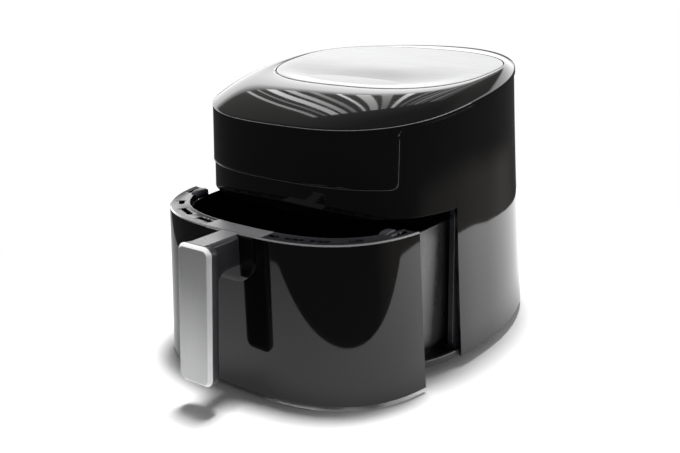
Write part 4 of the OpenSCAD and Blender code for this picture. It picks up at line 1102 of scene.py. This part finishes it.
def stage_floor():
    """Pale table top: round, with two straight edges (facing in degrees, distance in metres)."""
    round_reach, edges = 0.60, ((-48, 0.358), (-150, 0.50))

    def reach(a):
        facing = ((cos(a - radians(f)), d) for f, d in edges)
        return min([round_reach] + [d / c for c, d in facing if c > 0.1])

    bm = bmesh.new()
    bm.faces.new([bm.verts.new(Vector((cos(a), sin(a), 0)) * reach(a) / MM) for a in circle(144)])
    floor = add_object("floor", to_mesh("floor", bm, Vector()))
    mat, tree = node_tree("floor_paper")
    grain = spread(tree, noise_node(tree, 900, 3.0), 0.0, 0.5)
    paper = tree.nodes["Principled BSDF"]
    feed(tree, paper, {"Base Color": mix_colour(tree, grain, grey(0.92), grey(0.90)),
                       "Roughness": 0.6, "Specular IOR Level": 0.2})
    # in reflections the paper is a painted glow, brighter towards the light, with painted shade close to the
    # object
    level = maths(tree, "MULTIPLY_ADD", axis_of(tree, "Object", "X"), 1.2, 1.22)
    level = maths(tree, "MULTIPLY_ADD", axis_of(tree, "Object", "Y"), 0.6, level)
    painted_contact_shade = make(tree, "AmbientOcclusion", "AO", {"Distance": 0.10}, samples=6)
    strength = maths(tree, "MULTIPLY", spread(tree, level, 0.35, 2.0, 0.35, 2.0),
                     spread(tree, painted_contact_shade, 0.12, 1.0, 0.35, 0.85))
    painted_floor_glow = make(tree, "Emission", 0, {"Strength": strength})
    mixed = choose(tree, make(tree, "LightPath", "Is Glossy Ray", {}), paper.outputs["BSDF"], painted_floor_glow)
    feed(tree, tree.nodes["Material Output"], {"Surface": mixed})
    floor.data.materials.append(mat)


stage_floor()


def stage_world():
    """White to the camera; a soft even dome for diffuse light; a dark room with pale walls for gloss."""
    world = bpy.data.worlds.new("studio")
    bpy.context.scene.world = world
    world.use_nodes = True
    tree = world.node_tree
    tree.nodes.clear()
    x, y, z = (axis_of(tree, "Generated", axis) for axis in "XYZ")

    def shine(strength, colour=(1, 1, 1)):
        return make(tree, "Background", 0, {"Color": (*colour, 1), "Strength": strength})

    def rising(axis, start, end):
        return spread(tree, axis, 0.0, 1.0, start, end)

    def falling(axis, start, end):
        return spread(tree, axis, 1.0, 0.0, start, end)

    def both(a, b):
        return maths(tree, "MULTIPLY", a, b)

    behind, above = rising(y, -0.15, 0.20), rising(z, -0.02, 0.06)
    wall = both(behind, above)
    front_wall = both(falling(y, -0.45, -0.15), both(above, falling(z, 0.5, 0.7)))
    low_wall = both(behind, both(falling(z, -0.215, -0.19), rising(x, -0.1, 0.25)))
    gloss = choose(tree, front_wall, shine(0.07), shine(0.22))
    gloss = choose(tree, low_wall, gloss, shine(0.24, (1, 0.94, 0.88)))
    gloss = choose(tree, both(wall, falling(z, 0.70, 0.88)), gloss, shine(0.22, (1, 0.98, 0.95)))
    gloss = choose(tree, both(wall, falling(z, 0.355, 0.44)), gloss, shine(2.3))
    ambient = choose(tree, rising(y, -0.1, 0.4), shine(0.12), shine(0.5))
    lit = choose(tree, make(tree, "LightPath", "Is Diffuse Ray", {}), gloss, ambient)
    seen = choose(tree, make(tree, "LightPath", "Is Camera Ray", {}), lit, shine(1.0))
    feed(tree, tree.nodes.new("ShaderNodeOutputWorld"), {"Surface": seen})


stage_world()


def area_light(name, at, turn, width, height, power):
    """Rectangular light, which shines along its own -Z."""
    data = bpy.data.lights.new(name, "AREA")
    data.shape, data.size, data.size_y, data.energy = "RECTANGLE", width, height, power
    obj = add_object(name, data)
    obj.matrix_world = Matrix.Translation(at) @ turn.to_4x4()
    return obj


def heading(azimuth, elevation):
    a, e = radians(azimuth), radians(elevation)
    return Vector((cos(a) * cos(e), sin(a) * cos(e), sin(e)))


def studio_lights():
    """One softbox overhead, and narrow strips above the back wall for the dome's streaks."""
    at = Vector((-0.05, 0.16, 2.2))
    turn = (Vector((0, 0, 0.1)) - at).to_track_quat("-Z", "Y").to_matrix()
    area_light("softbox_over", at, turn, 0.38, 0.38, 62).visible_glossy = False
    centre, far = Vector((0, 0.05, 0.26)), 2.2
    for k in range(18):
        azimuth = 98 + 2.9 * k
        low = centre + heading(azimuth, 25.5) * far
        high = centre + heading(azimuth + 3 + 0.25 * k, 55 - 0.4 * k) * far
        middle, along = (low + high) / 2, high - low
        back = (middle - centre).normalized()
        across = along.cross(back).normalized()
        width, radiance = 0.022 + 0.013 * (k % 4), (2.6, 0.9, 1.7)[k % 3] * (1.15 if k > 8 else 0.5)
        turn = Matrix((across, back.cross(across), back)).transposed()
        power = radiance * pi * width * along.length
        area_light("strip_%02d" % k, middle, turn, width, along.length, power).visible_diffuse = False


studio_lights()
bpy.context.scene.view_settings.view_transform = "Standard"
